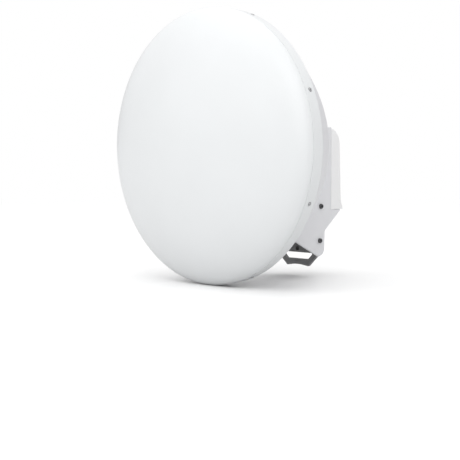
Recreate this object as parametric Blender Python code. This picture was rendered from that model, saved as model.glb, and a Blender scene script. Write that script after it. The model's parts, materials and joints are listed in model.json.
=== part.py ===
"""Outdoor wireless bridge: a 5 GHz dish under a domed radome, its radio in a housing behind it.

Lengths are in millimetres and become metres as each mesh is made. X runs to the right, seen from
in front of the dish. Until the last shift, depths (Y) run backwards from the seam between the
radome's dome and skirt, and heights (Z) up from the dish's axis. The shift puts the world's origin
on the tilt bracket's rear face, where a pole bracket bolts on.
"""
import math

import bmesh
import bpy
from mathutils import Vector

MM = 0.001
GAP = 0.3                       # clearance between two pieces that rest on each other
ORIGIN = Vector((0, 186, -136))  # bolt-pattern centre on the bracket's rear face
LEFT, RIGHT = -1, 1

# Radome, reflector and rear shell, all turned about the dish's axis
DISH_SIDES = 48
RADOME_R = 189
DOME_HEIGHT = 47
DOME_POWER = 2.2                # how the dome's edge rounds over into the skirt
DOME_ROOT = 1.9
RADOME_WALL = 2.5
SKIRT_DEPTH = 19.3
SKIRT_REAR_R = 187.8
SKIRT_INNER_R = 185.3
LEDGE_R, LEDGE_Y = 181, 1.6     # inner ledge that presses on the gasket
GASKET_INNER_R, GASKET_OUTER_R = 181.3, 185
GASKET_FRONT, GASKET_REAR = 1.9, 3.7
SHELL_R = 184.8                 # outside of the wall that the skirt slides over
SHELL_WALL = 2.4
SHELL_FRONT = 4.0
BOWL_START = 19.6
BOWL_REACH = 158                # from the bowl's start to the vertex of its paraboloid
BOWL_STEPS = 5
BOWL_SHOULDER = 97              # where the paraboloid turns in to the seat
BOWL_SEAT, BOWL_SEAT_R = 104.7, 116  # flat seat for the housing, which cuts the paraboloid off
BOWL_CLEARANCE = 0.4
FEED_OPENING_R = 27
FOCAL_LENGTH = 111.6
REFLECTOR_VERTEX = 87
REFLECTOR_R = 179
REFLECTOR_FLANGE_R = 182
REFLECTOR_FLAT_R = 38
REFLECTOR_HOLE_R = 22.8
SHEET = 1.5

# Radial screws through the skirt. Tip, seat, socket and top are distances from the dish's axis.
SKIRT_SCREWS = 8
SKIRT_SCREW_Y = 10
SCREW_TIP, SCREW_SEAT, SCREW_SOCKET, SCREW_TOP = 179.5, 187.3, 188.5, 189.3
SCREW_R, SCREW_HEAD_R, SCREW_SOCKET_R = 1.4, 2.7, 1.2
SCREW_HOLE_R, SCREW_RECESS_R = 1.75, 4.2

# Breather vent, on a facet of the bowl: the turn is from +X, the lengths are along its own axis
VENT_TURN = math.radians(-127.5)
VENT_STEM_R, VENT_HOLE_R, VENT_CAP_R, VENT_TOP_R = 2.4, 2.9, 6, 4.6
VENT_TIP, VENT_EDGE, VENT_TOP = -5, 2.4, 3.6

# Feed
FEED_SIDES = 20
TUBE_R, TUBE_BORE = 22, 20
TUBE_FRONT, TUBE_REAR = -18, 117.5
CONE_NECK_R, CONE_SHOULDER_R, CONE_FRONT_R = 19.6, 24, 38
CONE_TIP, CONE_SHOULDER, CONE_FRONT = -8, -18.3, -32.9
HUB_R, HUB_BORE = 36, 22.5
HUB_FRONT, HUB_REAR = 85.7, 102
HUB_SCREWS = [(29, 10), (-29, 10), (-29, -10), (29, -10)]
HUB_HOLE_R = 2.2
OMT_HALF, OMT_FRONT, OMT_REAR = 24, 108.3, 150
OMT_COLLAR_R, OMT_COLLAR_FRONT = 26.3, 102.6
OMT_STEP, OMT_BORE_END = 118, 146
OMT_PORT = (14, 130)

# Housing: side walls, roof, floor, and the cover that slides up behind them
HOUSING_HALF = 42
WALL = 2.5
COVER_WALL = 2.3
INNER_HALF = HOUSING_HALF - WALL
ROOF = 29
FRAME_FRONT = 80
FRAME_TOE = (180, -159.5)       # lowest point of the side walls
SEAM = 207                      # depth of the joint between frame and cover
SEAM_GAP = 0.2                  # from the joint to either of them
COVER_FOOT = -91.4
COVER_REAR = 235
COVER_BEND, COVER_HEM = -78, -89.6  # heights between which the cover pulls out into its foot
ROOF_ARC = (201.5, 3.0, 26.0)   # centre and radius of the rounded corner at the back of the roof
RAIL_FOOT, RAIL_TOP = -86, -40
RAIL_FRONT, RAIL_NECK, RAIL_REAR = 199.5, 208, 212
RAIL_INNER = 37                 # inner side of the rail, from the middle of the housing
GROOVE_FOOT, GROOVE_TOP = -88, 22
SLOPE_FOOT = Vector((0, 194, -122))
SLOPE_HEAD = Vector((0, 228, -93.7))
BULKHEAD_REAR, BULKHEAD_FOOT = 108, -47.5
FLOOR_REAR = 133
SHELF_INNER = -94.2             # underside of the shelf that the cover stands on
RIB_X, RIB_HALF = 35.5, 5       # ribs that carry the heatsink
RIB_DEPTHS, RIB_HEIGHTS = (168.5, 171.7), (-60, 10)
GROUND_SCREW = Vector((-HOUSING_HALF, 150, -126))
GROUND_SCREW_R, GROUND_HOLE_R = 2, 2.3

# Port door and cable grommet, in the sloping wall
DOOR_X = (-31, 14)
DOOR_AXIS, DOOR_TOP = 8.2, 39.0  # distances up the slope
DOORWAY = (6.7, 39.3)           # likewise
DOOR_DEPTH = 1.25               # of the hinge axis below the slope's surface
DOOR_HALF_THICK = 1.2
DOOR_PIN_R, DOOR_PIN_REACH = 0.7, 2.5
SOCKET_R, SOCKET_REACH = 0.9, 3
GROMMET_X, GROMMET_UP = 27.5, 23
GROMMET_NECK_R, GROMMET_RIM_R, GROMMET_HOLE_R = 5.6, 7.4, 5.9

# Tilt bracket, with its pivot and lock screws
PIVOT = Vector((0, 184, -86))
LOCK = Vector((0, 182, -136))
TILT_LIMIT = 8                  # degrees, each way
ARM_INNER, ARM_OUTER = 33.7, 38.5
ARM_HEAD_R = 9
PLATE_FRONT, PLATE_REAR = 180.5, 186.0
PLATE_TOP, PLATE_SHOULDER, PLATE_CORNER, PLATE_FOOT = -118, -157.5, -159.4, -174.8
PLATE_HALF, PLATE_CORNER_HALF, PLATE_FOOT_HALF = 37.9, 37.1, 20.7
ARCH_HALF, ARCH_RISE = 18, 2
LOOP_TOP, LOOP_FOOT = -155, -164.5
LOOP_TOP_HALF, LOOP_FOOT_HALF = 31.1, 21.1
WINDOW_INNER, WINDOW_FOOT, WINDOW_TOP = 27, -146.5, -125.5
SLOT_HALF_WIDTH = 2.9
SLOT_MARGIN = 0.4               # degrees of slot beyond the tilt's limits
PIVOT_HOLE_R, SIDE_HOLE_R = 4.2, 2.8
BOLT_X, BOLT_HEIGHTS, BOLT_HOLE_R = 18, (-125, -147), 3.3
PILOT_Z, PILOT_R, PILOT_DEPTH = -148.8, 3.6, 4  # blind hole in the plate's front

# Radio: everything below its case is placed by distance below the dish's axis
RADIO_HALF, RADIO_FOOT, RADIO_TOP, RADIO_WALL = 34, -74, 22, 2
RADIO_FRONT, RADIO_REAR = 175.9, 206.5
HEATSINK_HALF, HEATSINK_FRONT, HEATSINK_REAR, FIN_FRONT = 38, 172, 175.6, 160
FINS = [-27.5, -16.5, -5.5, 5.5, 16.5, 27.5]
FIN_HALF = 1.1
RADIO_SCREWS = [(36.3, 0), (-36.3, 0), (-36.3, -50), (36.3, -50)]
RADIO_SCREW_R, RADIO_HOLE_R, RADIO_SCREW_HEAD_R = 1.2, 1.5, 1.9
BOARD_HALF, BOARD_FRONT, BOARD_REAR, BOARD_FOOT, BOARD_TOP = 30, 178.5, 180.1, -70, 18
CAN_HALF, CAN_FOOT, CAN_TOP, CAN_HEIGHT, CAN_WALL = 20, -30, 10, 4.6, 0.6
JACK_HALF, JACK_FOOT, JACK_TOP, JACK_REAR = 8, -71.7, -52, 196
PLUG_HALF, PLUG_FRONT, PLUG_REAR, PLUG_TOP = 6, 183, 193, -58
SWITCH_HALF, SWITCH_FOOT, SWITCH_TOP = 3, -69.3, -65
RADIO_PORT = (22, 192)
BUTTON = (13.5, 184.5)
LIGHT_PIPE = (-13.5, 184.5)
FLANGE_REST = 71.7              # where port, pipe and button flanges stop inside the case

# Coaxial jumpers
JUMPER_NUT_R, JUMPER_NECK_R, JUMPER_R = 4.2, 2.6, 1.8
JUMPER_STEPS = 8


# ---------------------------------------------------------------- shapes

def lathe(profile, sides, centre=(0, 0, 0), axis=(0, 1, 0)):
    """Turn a closed outline of (radius, distance along the axis) points about the axis."""
    bm = bmesh.new()
    turn = Vector((0, 0, 1)).rotation_difference(Vector(axis)).to_matrix()
    rings = []
    for radius, along in profile:
        steps = sides if radius > 0 else 1
        angles = [(k + 0.5) * math.tau / sides for k in range(steps)]
        local = [Vector((radius * math.cos(a), radius * math.sin(a), along)) for a in angles]
        rings.append([bm.verts.new((Vector(centre) + turn @ p) * MM) for p in local])
    for ring, following in zip(rings, rings[1:] + rings[:1]):
        if len(ring) == len(following) == 1:
            continue
        for k in range(sides):
            n = (k + 1) % sides
            corners = [ring[k % len(ring)], ring[n % len(ring)]]
            corners += [following[n % len(following)], following[k % len(following)]]
            bm.faces.new(list(dict.fromkeys(corners)))
    bmesh.ops.recalc_face_normals(bm, faces=bm.faces)
    return bm


def prism(outline, along, low, high):
    """Extrude an outline along X, Y or Z; its points are the other two coordinates, in order."""
    bm = bmesh.new()
    spot = "XYZ".index(along)

    def corner(point, level):
        place = list(point)
        place.insert(spot, level)
        return bm.verts.new(Vector(place) * MM)

    ends = [[corner(p, level) for p in outline] for level in (low, high)]
    for end in ends:
        bm.faces.new(end)
    for k in range(len(outline)):
        n = (k + 1) % len(outline)
        bm.faces.new([ends[0][k], ends[0][n], ends[1][n], ends[1][k]])
    bmesh.ops.recalc_face_normals(bm, faces=bm.faces)
    return bm


def box(low, high):
    outline = [(low[0], low[1]), (high[0], low[1]), (high[0], high[1]), (low[0], high[1])]
    return prism(outline, "Z", low[2], high[2])


def rod(centre, axis, radius, low, high, sides=12):
    """A plain round bar between two distances along an axis through centre."""
    return lathe([(0, low), (radius, low), (radius, high), (0, high)], sides, centre, axis)


def sweep(path, radii, sides):
    """A round bar along a path, with a radius at each of its points."""
    bm = bmesh.new()
    rings = []
    across = Vector((1, 0, 0))
    for k, (point, radius) in enumerate(zip(path, radii)):
        ahead = (path[min(k + 1, len(path) - 1)] - path[max(k - 1, 0)]).normalized()
        first = (across - across.dot(ahead) * ahead).normalized()
        second = ahead.cross(first)
        turns = [j * math.tau / sides for j in range(sides)]
        around = [first * math.cos(t) + second * math.sin(t) for t in turns]
        rings.append([bm.verts.new((point + radius * d) * MM) for d in around])
    for end in (rings[0], rings[-1]):
        bm.faces.new(end)
    for ring, following in zip(rings, rings[1:]):
        for j in range(sides):
            n = (j + 1) % sides
            bm.faces.new([ring[j], ring[n], following[n], following[j]])
    bmesh.ops.recalc_face_normals(bm, faces=bm.faces)
    return bm


def together(*shapes):
    """Several separate shapes in one mesh, for one tool."""
    whole = bmesh.new()
    for shape in shapes:
        mesh = bpy.data.meshes.new("shape")
        shape.to_mesh(mesh)
        whole.from_mesh(mesh)
        bpy.data.meshes.remove(mesh)
        shape.free()
    return whole


def material(name, colour, roughness, metallic=0.0):
    mat = bpy.data.materials.new(name)
    mat.use_nodes = True
    shader = mat.node_tree.nodes["Principled BSDF"]
    shader.inputs["Base Color"].default_value = (*colour, 1)
    shader.inputs["Roughness"].default_value = roughness
    shader.inputs["Metallic"].default_value = metallic
    mat.diffuse_color = (*colour, 1)
    return mat


def make_object(name, shape, pivot):
    """Turn a shape into an object whose origin is at pivot."""
    for vert in shape.verts:
        vert.co -= pivot * MM
    mesh = bpy.data.meshes.new(name)
    shape.to_mesh(mesh)
    shape.free()
    obj = bpy.data.objects.new(name, mesh)
    bpy.context.collection.objects.link(obj)
    obj.location = (pivot - ORIGIN) * MM
    return obj


def solid(name, shape, look, parent=None, pivot=Vector((0, 0, 0))):
    """One piece of the product, placed under its parent and shaded smooth on its round faces."""
    obj = make_object(name, shape, pivot)
    obj.data.materials.append(material(name, *LOOKS[look]))
    obj.data.shade_smooth()
    obj.data.set_sharp_from_angle(angle=math.radians(30))
    if parent:
        obj.parent = parent
        obj.location -= parent.location
    return obj


def reshape(target, name, shape, operation="DIFFERENCE"):
    """Cut a shape out of a piece, or add it on, and keep the shape as a wire guide."""
    tool = make_object(f"{target.name}_{name}", shape, Vector((0, 0, 0)))
    tool.hide_render = True
    tool.display_type = "WIRE"
    step = target.modifiers.new(name, "BOOLEAN")
    step.operation = operation
    step.object = tool


def empty(name, place):
    obj = bpy.data.objects.new(name, None)
    bpy.context.collection.objects.link(obj)
    obj.location = (place - ORIGIN) * MM
    return obj


LOOKS = {
    "white_plastic": ((0.86, 0.87, 0.89), 0.45),
    "white_shell": ((0.80, 0.81, 0.83), 0.5),
    "light_plastic": ((0.84, 0.85, 0.86), 0.4),
    "grey_casting": ((0.13, 0.135, 0.145), 0.55, 0.6),
    "steel": ((0.45, 0.45, 0.46), 0.35, 1.0),
    "dark_steel": ((0.12, 0.12, 0.13), 0.4, 1.0),
    "aluminium": ((0.75, 0.76, 0.78), 0.4, 1.0),
    "brass": ((0.78, 0.58, 0.25), 0.3, 1.0),
    "rubber": ((0.03, 0.03, 0.03), 0.8),
    "dielectric": ((0.85, 0.84, 0.78), 0.5),
    "black_plastic": ((0.03, 0.03, 0.035), 0.5),
    "board": ((0.02, 0.16, 0.07), 0.5),
    "cable": ((0.04, 0.04, 0.045), 0.5),
    "clear": ((0.8, 0.9, 0.95), 0.1),
    "nylon": ((0.7, 0.7, 0.66), 0.6),
}


# ---------------------------------------------------------------- dish

def dome_depth(radius, rim, height):
    """Height of the dome in front of its seam."""
    return -height * (1 - (radius / rim) ** DOME_POWER) ** (1 / DOME_ROOT)


def dome_profile(rim, height, widest, steps):
    """Dome points from the axis out to the radius called widest."""
    last = math.asin(widest / rim)
    radii = [rim * math.sin(last * k / steps) for k in range(steps + 1)]
    return [(r, dome_depth(min(r, rim), rim, height)) for r in radii]


def bowl_profile(distance=0.0):
    """Rear shell's bowl, from its rim in to the flat seat's edge, moved outwards by a distance."""
    deepest = BOWL_SHOULDER - BOWL_START
    depths = [deepest * k / BOWL_STEPS for k in range(BOWL_STEPS + 1)]
    line = [(SHELL_R * math.sqrt(1 - depth / BOWL_REACH), BOWL_START + depth) for depth in depths]
    line = [(SHELL_R, SHELL_FRONT)] + line + [(BOWL_SEAT_R, BOWL_SEAT), (0, BOWL_SEAT)]
    points = [Vector(point) for point in line]
    moved = []
    for before, point, after in zip(points, points[1:], points[2:]):
        arriving, leaving = (point - before).normalized(), (after - point).normalized()
        outward = Vector((leaving.y, -leaving.x))
        mitre = (Vector((arriving.y, -arriving.x)) + outward).normalized()
        moved.append(tuple(point + mitre * distance / mitre.dot(outward)))
    return moved


def skirt_screw_axes():
    turns = [(k + 0.5) * math.tau / SKIRT_SCREWS for k in range(SKIRT_SCREWS)]
    return [Vector((math.cos(t), 0, math.sin(t))) for t in turns]


def make_radome(parent):
    outer = dome_profile(RADOME_R, DOME_HEIGHT, RADOME_R, 7)
    inner = dome_profile(RADOME_R - RADOME_WALL, DOME_HEIGHT - RADOME_WALL, LEDGE_R, 4)
    rim = [(SKIRT_REAR_R, SKIRT_DEPTH), (SKIRT_INNER_R, SKIRT_DEPTH)]
    rim += [(SKIRT_INNER_R, LEDGE_Y), (LEDGE_R, LEDGE_Y)]
    radome = solid("radome", lathe(outer + rim + inner[::-1], DISH_SIDES), "white_plastic", parent)
    place = Vector((0, SKIRT_SCREW_Y, 0))
    bed = SCREW_SEAT - 0.2
    hole = [(0, LEDGE_R - 1), (SCREW_HOLE_R, LEDGE_R - 1), (SCREW_HOLE_R, bed)]
    recess = [(SCREW_RECESS_R, bed), (SCREW_RECESS_R, RADOME_R + 3), (0, RADOME_R + 3)]
    tools = [lathe(hole + recess, 8, place, axis) for axis in skirt_screw_axes()]
    reshape(radome, "screw_holes", together(*tools))


def make_skirt_screws(parent):
    shank = [(0, SCREW_TIP), (SCREW_R, SCREW_TIP), (SCREW_R, SCREW_SEAT)]
    head = [(SCREW_HEAD_R, SCREW_SEAT), (SCREW_HEAD_R, SCREW_TOP - 0.7), (SCREW_HEAD_R - 0.5, SCREW_TOP)]
    socket = [(SCREW_SOCKET_R, SCREW_TOP), (SCREW_SOCKET_R, SCREW_SOCKET), (0, SCREW_SOCKET)]
    place = Vector((0, SKIRT_SCREW_Y, 0))
    for number, axis in enumerate(skirt_screw_axes(), 1):
        shape = lathe(shank + head + socket, 8, place, axis)
        solid(f"radome_screw_{number}", shape, "steel", parent, place + axis * SCREW_SEAT)


def make_rear_shell(parent):
    front = [(SHELL_R - SHELL_WALL, SHELL_FRONT), (SHELL_R, SHELL_FRONT)]
    outer, inner = bowl_profile(), bowl_profile(-SHELL_WALL)
    centre = [(FEED_OPENING_R, outer[-1][1]), (FEED_OPENING_R, inner[-1][1])]
    outline = front + outer + centre + inner[::-1]
    shell = solid("rear_shell", lathe(outline, DISH_SIDES), "white_shell", parent)
    place = Vector((0, SKIRT_SCREW_Y, 0))
    wall = (SHELL_R - SHELL_WALL - 4, SHELL_R + 3)
    holes = [rod(place, axis, SCREW_HOLE_R, *wall, 8) for axis in skirt_screw_axes()]
    holes += [rod((x, 0, z), (0, 1, 0), HUB_HOLE_R, 95, 112) for x, z in HUB_SCREWS]
    spot, normal = vent_seat()
    holes.append(rod(spot, normal, VENT_HOLE_R, -6, 6))
    reshape(shell, "holes", together(*holes))


def vent_seat():
    """Middle of the bowl's facet that carries the breather vent, and its outward normal."""
    (r0, y0), (r1, y1) = bowl_profile()[3:5]
    outward = Vector((math.cos(VENT_TURN), 0, math.sin(VENT_TURN)))
    flat = math.cos(math.pi / DISH_SIDES)
    spot = outward * (r0 + r1) / 2 * flat + Vector((0, (y0 + y1) / 2, 0))
    normal = outward * (y1 - y0) + Vector((0, (r0 - r1) * flat, 0))
    return spot, normal.normalized()


def make_breather_vent(parent):
    spot, normal = vent_seat()
    stem = [(0, VENT_TIP), (VENT_STEM_R, VENT_TIP), (VENT_STEM_R, GAP)]
    cap = [(VENT_CAP_R, GAP), (VENT_CAP_R, VENT_EDGE), (VENT_TOP_R, VENT_TOP), (0, VENT_TOP)]
    solid("breather_vent", lathe(stem + cap, 16, spot, normal), "black_plastic", parent, spot)


def make_reflector(parent):
    """A paraboloid with a flat seat at its vertex and a flange round its rim."""
    def depth(radius):
        return REFLECTOR_VERTEX - radius ** 2 / (4 * FOCAL_LENGTH)

    radii = [REFLECTOR_FLAT_R + (REFLECTOR_R - REFLECTOR_FLAT_R) * k / 4 for k in range(5)]
    front = [(r, depth(r)) for r in radii]
    flange = [(REFLECTOR_FLANGE_R, front[-1][1]), (REFLECTOR_FLANGE_R, front[-1][1] + SHEET)]
    back = [(r, d + SHEET) for r, d in front]
    seat = [(REFLECTOR_HOLE_R, back[0][1]), (REFLECTOR_HOLE_R, front[0][1])]
    shape = lathe(front + flange + back[::-1] + seat, DISH_SIDES)
    solid("reflector", shape, "aluminium", parent)


def make_gasket(parent):
    profile = [(GASKET_INNER_R, GASKET_FRONT), (GASKET_OUTER_R, GASKET_FRONT)]
    profile += [(GASKET_OUTER_R, GASKET_REAR), (GASKET_INNER_R, GASKET_REAR)]
    solid("rim_gasket", lathe(profile, DISH_SIDES), "rubber", parent)


# ---------------------------------------------------------------- feed

def make_feed(parent):
    tube = [(TUBE_R, TUBE_FRONT), (TUBE_R, TUBE_REAR), (TUBE_BORE, TUBE_REAR), (TUBE_BORE, TUBE_FRONT)]
    solid("feed_tube", lathe(tube, FEED_SIDES), "aluminium", parent)
    cone = [(0, CONE_TIP), (CONE_NECK_R, CONE_TIP), (CONE_NECK_R, CONE_SHOULDER)]
    cone += [(CONE_SHOULDER_R, CONE_SHOULDER), (CONE_FRONT_R, CONE_FRONT), (0, CONE_FRONT)]
    solid("feed_cone", lathe(cone, FEED_SIDES), "dielectric", parent)
    plate = [(0, -33.3), (41, -33.3), (43, -31.5), (43.8, -32.3), (41.5, -35.5), (0, -36.5)]
    solid("splash_plate", lathe(plate, FEED_SIDES), "aluminium", parent)
    hub = [(HUB_BORE, HUB_FRONT), (HUB_R, HUB_FRONT), (HUB_R, HUB_REAR), (HUB_BORE, HUB_REAR)]
    feed_hub = solid("feed_hub", lathe(hub, FEED_SIDES), "aluminium", parent)
    holes = [rod((x, 0, z), (0, 1, 0), HUB_HOLE_R, 92, 106) for x, z in HUB_SCREWS]
    reshape(feed_hub, "screw_holes", together(*holes))
    screw = [(0, 93), (1.9, 93), (1.9, 108.3), (3.4, 108.3), (3.4, 110.8), (0, 110.8)]
    for number, (x, z) in enumerate(HUB_SCREWS, 1):
        solid(f"hub_screw_{number}", lathe(screw, 12, (x, 0, z)), "steel", parent)


def make_omt(parent):
    """Junction that splits the tube's two polarisations into a port each."""
    body = box((-OMT_HALF, OMT_FRONT, -OMT_HALF), (OMT_HALF, OMT_REAR, OMT_HALF))
    omt = solid("omt_body", body, "aluminium", parent)
    collar = rod((0, 0, 0), (0, 1, 0), OMT_COLLAR_R, OMT_COLLAR_FRONT, OMT_FRONT + 4, FEED_SIDES)
    reshape(omt, "collar", collar, "UNION")
    bore = [(0, 95), (HUB_BORE, 95), (HUB_BORE, OMT_STEP), (TUBE_BORE, OMT_STEP)]
    bore += [(TUBE_BORE, OMT_BORE_END), (0, OMT_BORE_END)]
    reshape(omt, "bore", lathe(bore, FEED_SIDES))
    seat = OMT_HALF + GAP
    port = [(0, seat), (5, seat), (5, 26), (3.1, 26), (3.1, 31.5), (0, 31.5)]
    for side, sign in (("left", LEFT), ("right", RIGHT)):
        shape = lathe(port, 12, (sign * OMT_PORT[0], OMT_PORT[1], 0), (0, 0, -1))
        solid(f"omt_port_{side}", shape, "brass", parent)


# ---------------------------------------------------------------- housing

def arc(centre_y, centre_z, radius, first, last, steps):
    """Points on an arc in the YZ plane, with angles in degrees from +Y towards +Z."""
    turns = [math.radians(first + (last - first) * k / steps) for k in range(steps + 1)]
    return [(centre_y + radius * math.cos(t), centre_z + radius * math.sin(t)) for t in turns]


def on_slope(up, out=0.0):
    """A (y, z) point on the sloping wall, so far up from its foot and out from its surface."""
    along = (SLOPE_HEAD - SLOPE_FOOT).normalized()
    place = SLOPE_FOOT + up * along + out * slope_normal()
    return place.y, place.z


def slope_normal():
    along = (SLOPE_HEAD - SLOPE_FOOT).normalized()
    return Vector((0, along.z, -along.y))


def frame_outline():
    seam, shelf = SEAM - SEAM_GAP, COVER_FOOT - GAP
    outline = [(FRAME_FRONT, ROOF), (ROOF_ARC[0], ROOF), (seam, ROOF - 0.55), (seam, shelf)]
    outline += [(SLOPE_HEAD.y, shelf), tuple(SLOPE_HEAD.yz), tuple(SLOPE_FOOT.yz), (193, -150)]
    outline += [(190.8, -154.5), (187, -157.4), FRAME_TOE, (129, -134.5), (FRAME_FRONT, -110.5)]
    return outline


def cavity_outline():
    """What is hollow between the side walls: open at the back, and at the front round the bowl."""
    lip, front, below = SEAM - WALL, FRAME_FRONT - 2, FRAME_TOE[1] - 10
    hollow = [(BULKHEAD_REAR, ROOF - WALL), (220, ROOF - WALL), (220, COVER_HEM), (lip, COVER_HEM)]
    hollow += [(lip, SHELF_INNER), (218.9, SHELF_INNER), (218.9, -98.0), on_slope(0, -WALL)]
    hollow += [(192.4, -122.8), (205, -122.8), (205, below), (FLOOR_REAR, below)]
    hollow += [(FLOOR_REAR, -133.7), (front, -106.7), (front, BULKHEAD_FOOT)]
    hollow += [(BULKHEAD_REAR, BULKHEAD_FOOT)]
    return hollow


def make_frame(parent):
    half, inner = HOUSING_HALF, INNER_HALF
    frame = solid("housing_frame", prism(frame_outline(), "X", -half, half), "white_shell", parent)
    reshape(frame, "cavity", prism(cavity_outline(), "X", -inner, inner))
    reshape(frame, "bowl", lathe(bowl_tool(), DISH_SIDES))
    reshape(frame, "ribs", together(rib(LEFT), rib(RIGHT)), "UNION")
    reshape(frame, "holes", together(*frame_holes()))
    reshape(frame, "grooves", together(rail_groove(LEFT), rail_groove(RIGHT)))
    low, high = DOORWAY
    opening = [on_slope(low, -3.4), on_slope(low, 3), on_slope(high, 3), on_slope(high, -3.4)]
    reshape(frame, "doorway", prism(opening, "X", *DOOR_X))
    hinge = (0, *on_slope(DOOR_AXIS, -DOOR_DEPTH))
    sockets = rod(hinge, (1, 0, 0), SOCKET_R, DOOR_X[0] - SOCKET_REACH, DOOR_X[1] + SOCKET_REACH)
    reshape(frame, "sockets", sockets)
    cable_hole = rod((GROMMET_X, *on_slope(GROMMET_UP)), slope_normal(), GROMMET_HOLE_R, -4, 4)
    reshape(frame, "cable_hole", cable_hole)


def rib(side):
    (front, rear), (foot, top) = RIB_DEPTHS, RIB_HEIGHTS
    return box((side * RIB_X - RIB_HALF, front, foot), (side * RIB_X + RIB_HALF, rear, top))


def frame_holes():
    """Every round hole through the frame apart from the door's sockets and the cable's hole."""
    holes = []
    for x in (-HOUSING_HALF, HOUSING_HALF):
        holes += [rod((x, *place.yz), (1, 0, 0), SIDE_HOLE_R, -6, 6, 16) for place in (PIVOT, LOCK)]
    holes += [rod((x, 0, z), (0, 1, 0), HUB_HOLE_R, 100, 112) for x, z in HUB_SCREWS]
    holes += [rod((x, 0, z), (0, 1, 0), RADIO_HOLE_R, 166, 174) for x, z in RADIO_SCREWS]
    holes.append(rod((0, 0, 0), (0, 1, 0), FEED_OPENING_R, 100, 112, FEED_SIDES))
    holes.append(rod(GROUND_SCREW, (1, 0, 0), GROUND_HOLE_R, -4, 6))
    return holes


def bowl_tool():
    """The bowl's outside plus a clearance, closed on the axis."""
    grown = bowl_profile(BOWL_CLEARANCE)
    return [(0, 20), (grown[0][0], 20)] + grown[1:] + [(0, grown[-1][1])]


def rail_groove(side):
    """The groove in a cheek for one of the cover's rails, open towards the middle."""
    middle = side * (INNER_HALF + GAP)
    return box((middle - 0.9, RAIL_FRONT - GAP, GROOVE_FOOT), (middle + 0.9, 201.8, GROOVE_TOP))


def make_cover(parent):
    """Rear cover, with a rail inside each cheek that runs in the frame's groove."""
    y, z, radius = ROOF_ARC
    front, wall, half = SEAM + SEAM_GAP, COVER_WALL, HOUSING_HALF
    first = math.degrees(math.acos((front - y) / radius))
    outline = arc(y, z, radius, first, 0, 6) + [(230.8, COVER_BEND), (COVER_REAR, COVER_HEM)]
    outline += [(COVER_REAR, COVER_FOOT), (front, COVER_FOOT)]
    seat = Vector((0, SEAM, COVER_FOOT))
    cover = solid("rear_cover", prism(outline, "X", -half, half), "light_plastic", parent, seat)
    hollow = [(195, z + radius - wall)] + arc(y, z, radius - wall, 88, 0, 6)
    hollow += [(228.4, COVER_BEND), (228.8, COVER_FOOT + wall), (195, COVER_FOOT + wall)]
    reshape(cover, "hollow", prism(hollow, "X", wall - half, half - wall))
    reshape(cover, "rails", together(rail(LEFT), rail(RIGHT)), "UNION")


def rail(side):
    """A hooked rail: its front runs in the frame's groove, its rear is part of the cover's cheek."""
    hook = [(RAIL_INNER, RAIL_FRONT), (40.4, RAIL_FRONT), (40.4, 201.5), (39.1, 201.5)]
    hook += [(39.1, RAIL_NECK), (40.8, RAIL_NECK), (40.8, RAIL_REAR), (RAIL_INNER, RAIL_REAR)]
    return prism([(side * x, depth) for x, depth in hook], "Z", RAIL_FOOT, RAIL_TOP)


def make_door(parent):
    """Port door, rounded about its hinge and with a stub pin at each end."""
    y, z = on_slope(DOOR_AXIS, -DOOR_DEPTH)
    thick = DOOR_HALF_THICK
    lean = math.degrees(math.atan2(slope_normal().z, slope_normal().y))
    edge = arc(y, z, thick, lean, lean - 180, 6)
    outline = edge + [on_slope(DOOR_TOP, -DOOR_DEPTH - thick), on_slope(DOOR_TOP, thick - DOOR_DEPTH)]
    hinge = Vector((0, y, z))
    shape = prism(outline, "X", DOOR_X[0] + GAP, DOOR_X[1] - GAP)
    door = solid("port_door", shape, "light_plastic", parent, hinge)
    pins = rod(hinge, (1, 0, 0), DOOR_PIN_R, DOOR_X[0] - DOOR_PIN_REACH, DOOR_X[1] + DOOR_PIN_REACH)
    reshape(door, "pins", pins, "UNION")


def make_grommet(parent):
    rim, neck, inside = GROMMET_RIM_R, GROMMET_NECK_R, -WALL - GAP
    profile = [(0, -0.6), (2.6, -0.6), (3.4, 1.6), (rim, 1.2), (rim, GAP), (neck, GAP), (neck, inside)]
    profile += [(rim, inside), (rim, -4.2), (3.4, -4.2), (2.6, -1.6), (0, -1.6)]
    place = Vector((GROMMET_X, *on_slope(GROMMET_UP)))
    solid("cable_grommet", lathe(profile, 16, place, slope_normal()), "rubber", parent, place)


def make_ground_screw(parent):
    shank = [(0, -8), (GROUND_SCREW_R, -8), (GROUND_SCREW_R, GAP)]
    head = [(4.2, GAP), (4.2, 1.2), (3.6, 1.2), (3.6, 3.4), (0, 3.4)]
    shape = lathe(shank + head, 12, GROUND_SCREW, (-1, 0, 0))
    solid("ground_screw", shape, "steel", parent, GROUND_SCREW)


# ---------------------------------------------------------------- tilt bracket

def plate_outline():
    """The bracket's plate: bolting face above, open loop below, with a shallow arch in its foot."""
    arch = []
    for k in range(1, 6):
        across = 1 - k / 3
        arch.append((-ARCH_HALF * across, PLATE_FOOT + ARCH_RISE * (1 - across ** 2)))
    right = [(PLATE_FOOT_HALF, PLATE_FOOT), (PLATE_CORNER_HALF, PLATE_CORNER)]
    right += [(PLATE_HALF, PLATE_SHOULDER), (PLATE_HALF, PLATE_TOP)]
    left = [(-x, z) for x, z in right[::-1]]
    return right + left + arch


def arm_outline():
    """One arm, seen from the side: round at the pivot, wide where the lock slot is."""
    head = arc(PIVOT.y, PIVOT.z, ARM_HEAD_R, 180, 0, 8)
    rear = [(PLATE_REAR, -112), (PLATE_REAR, -124), (195.5, -131), (195.5, -145), (185.4, -156.5)]
    front = [(181.1, -156.5), (169, -145), (169, -128), (176, -118)]
    return head + rear + front


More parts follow.
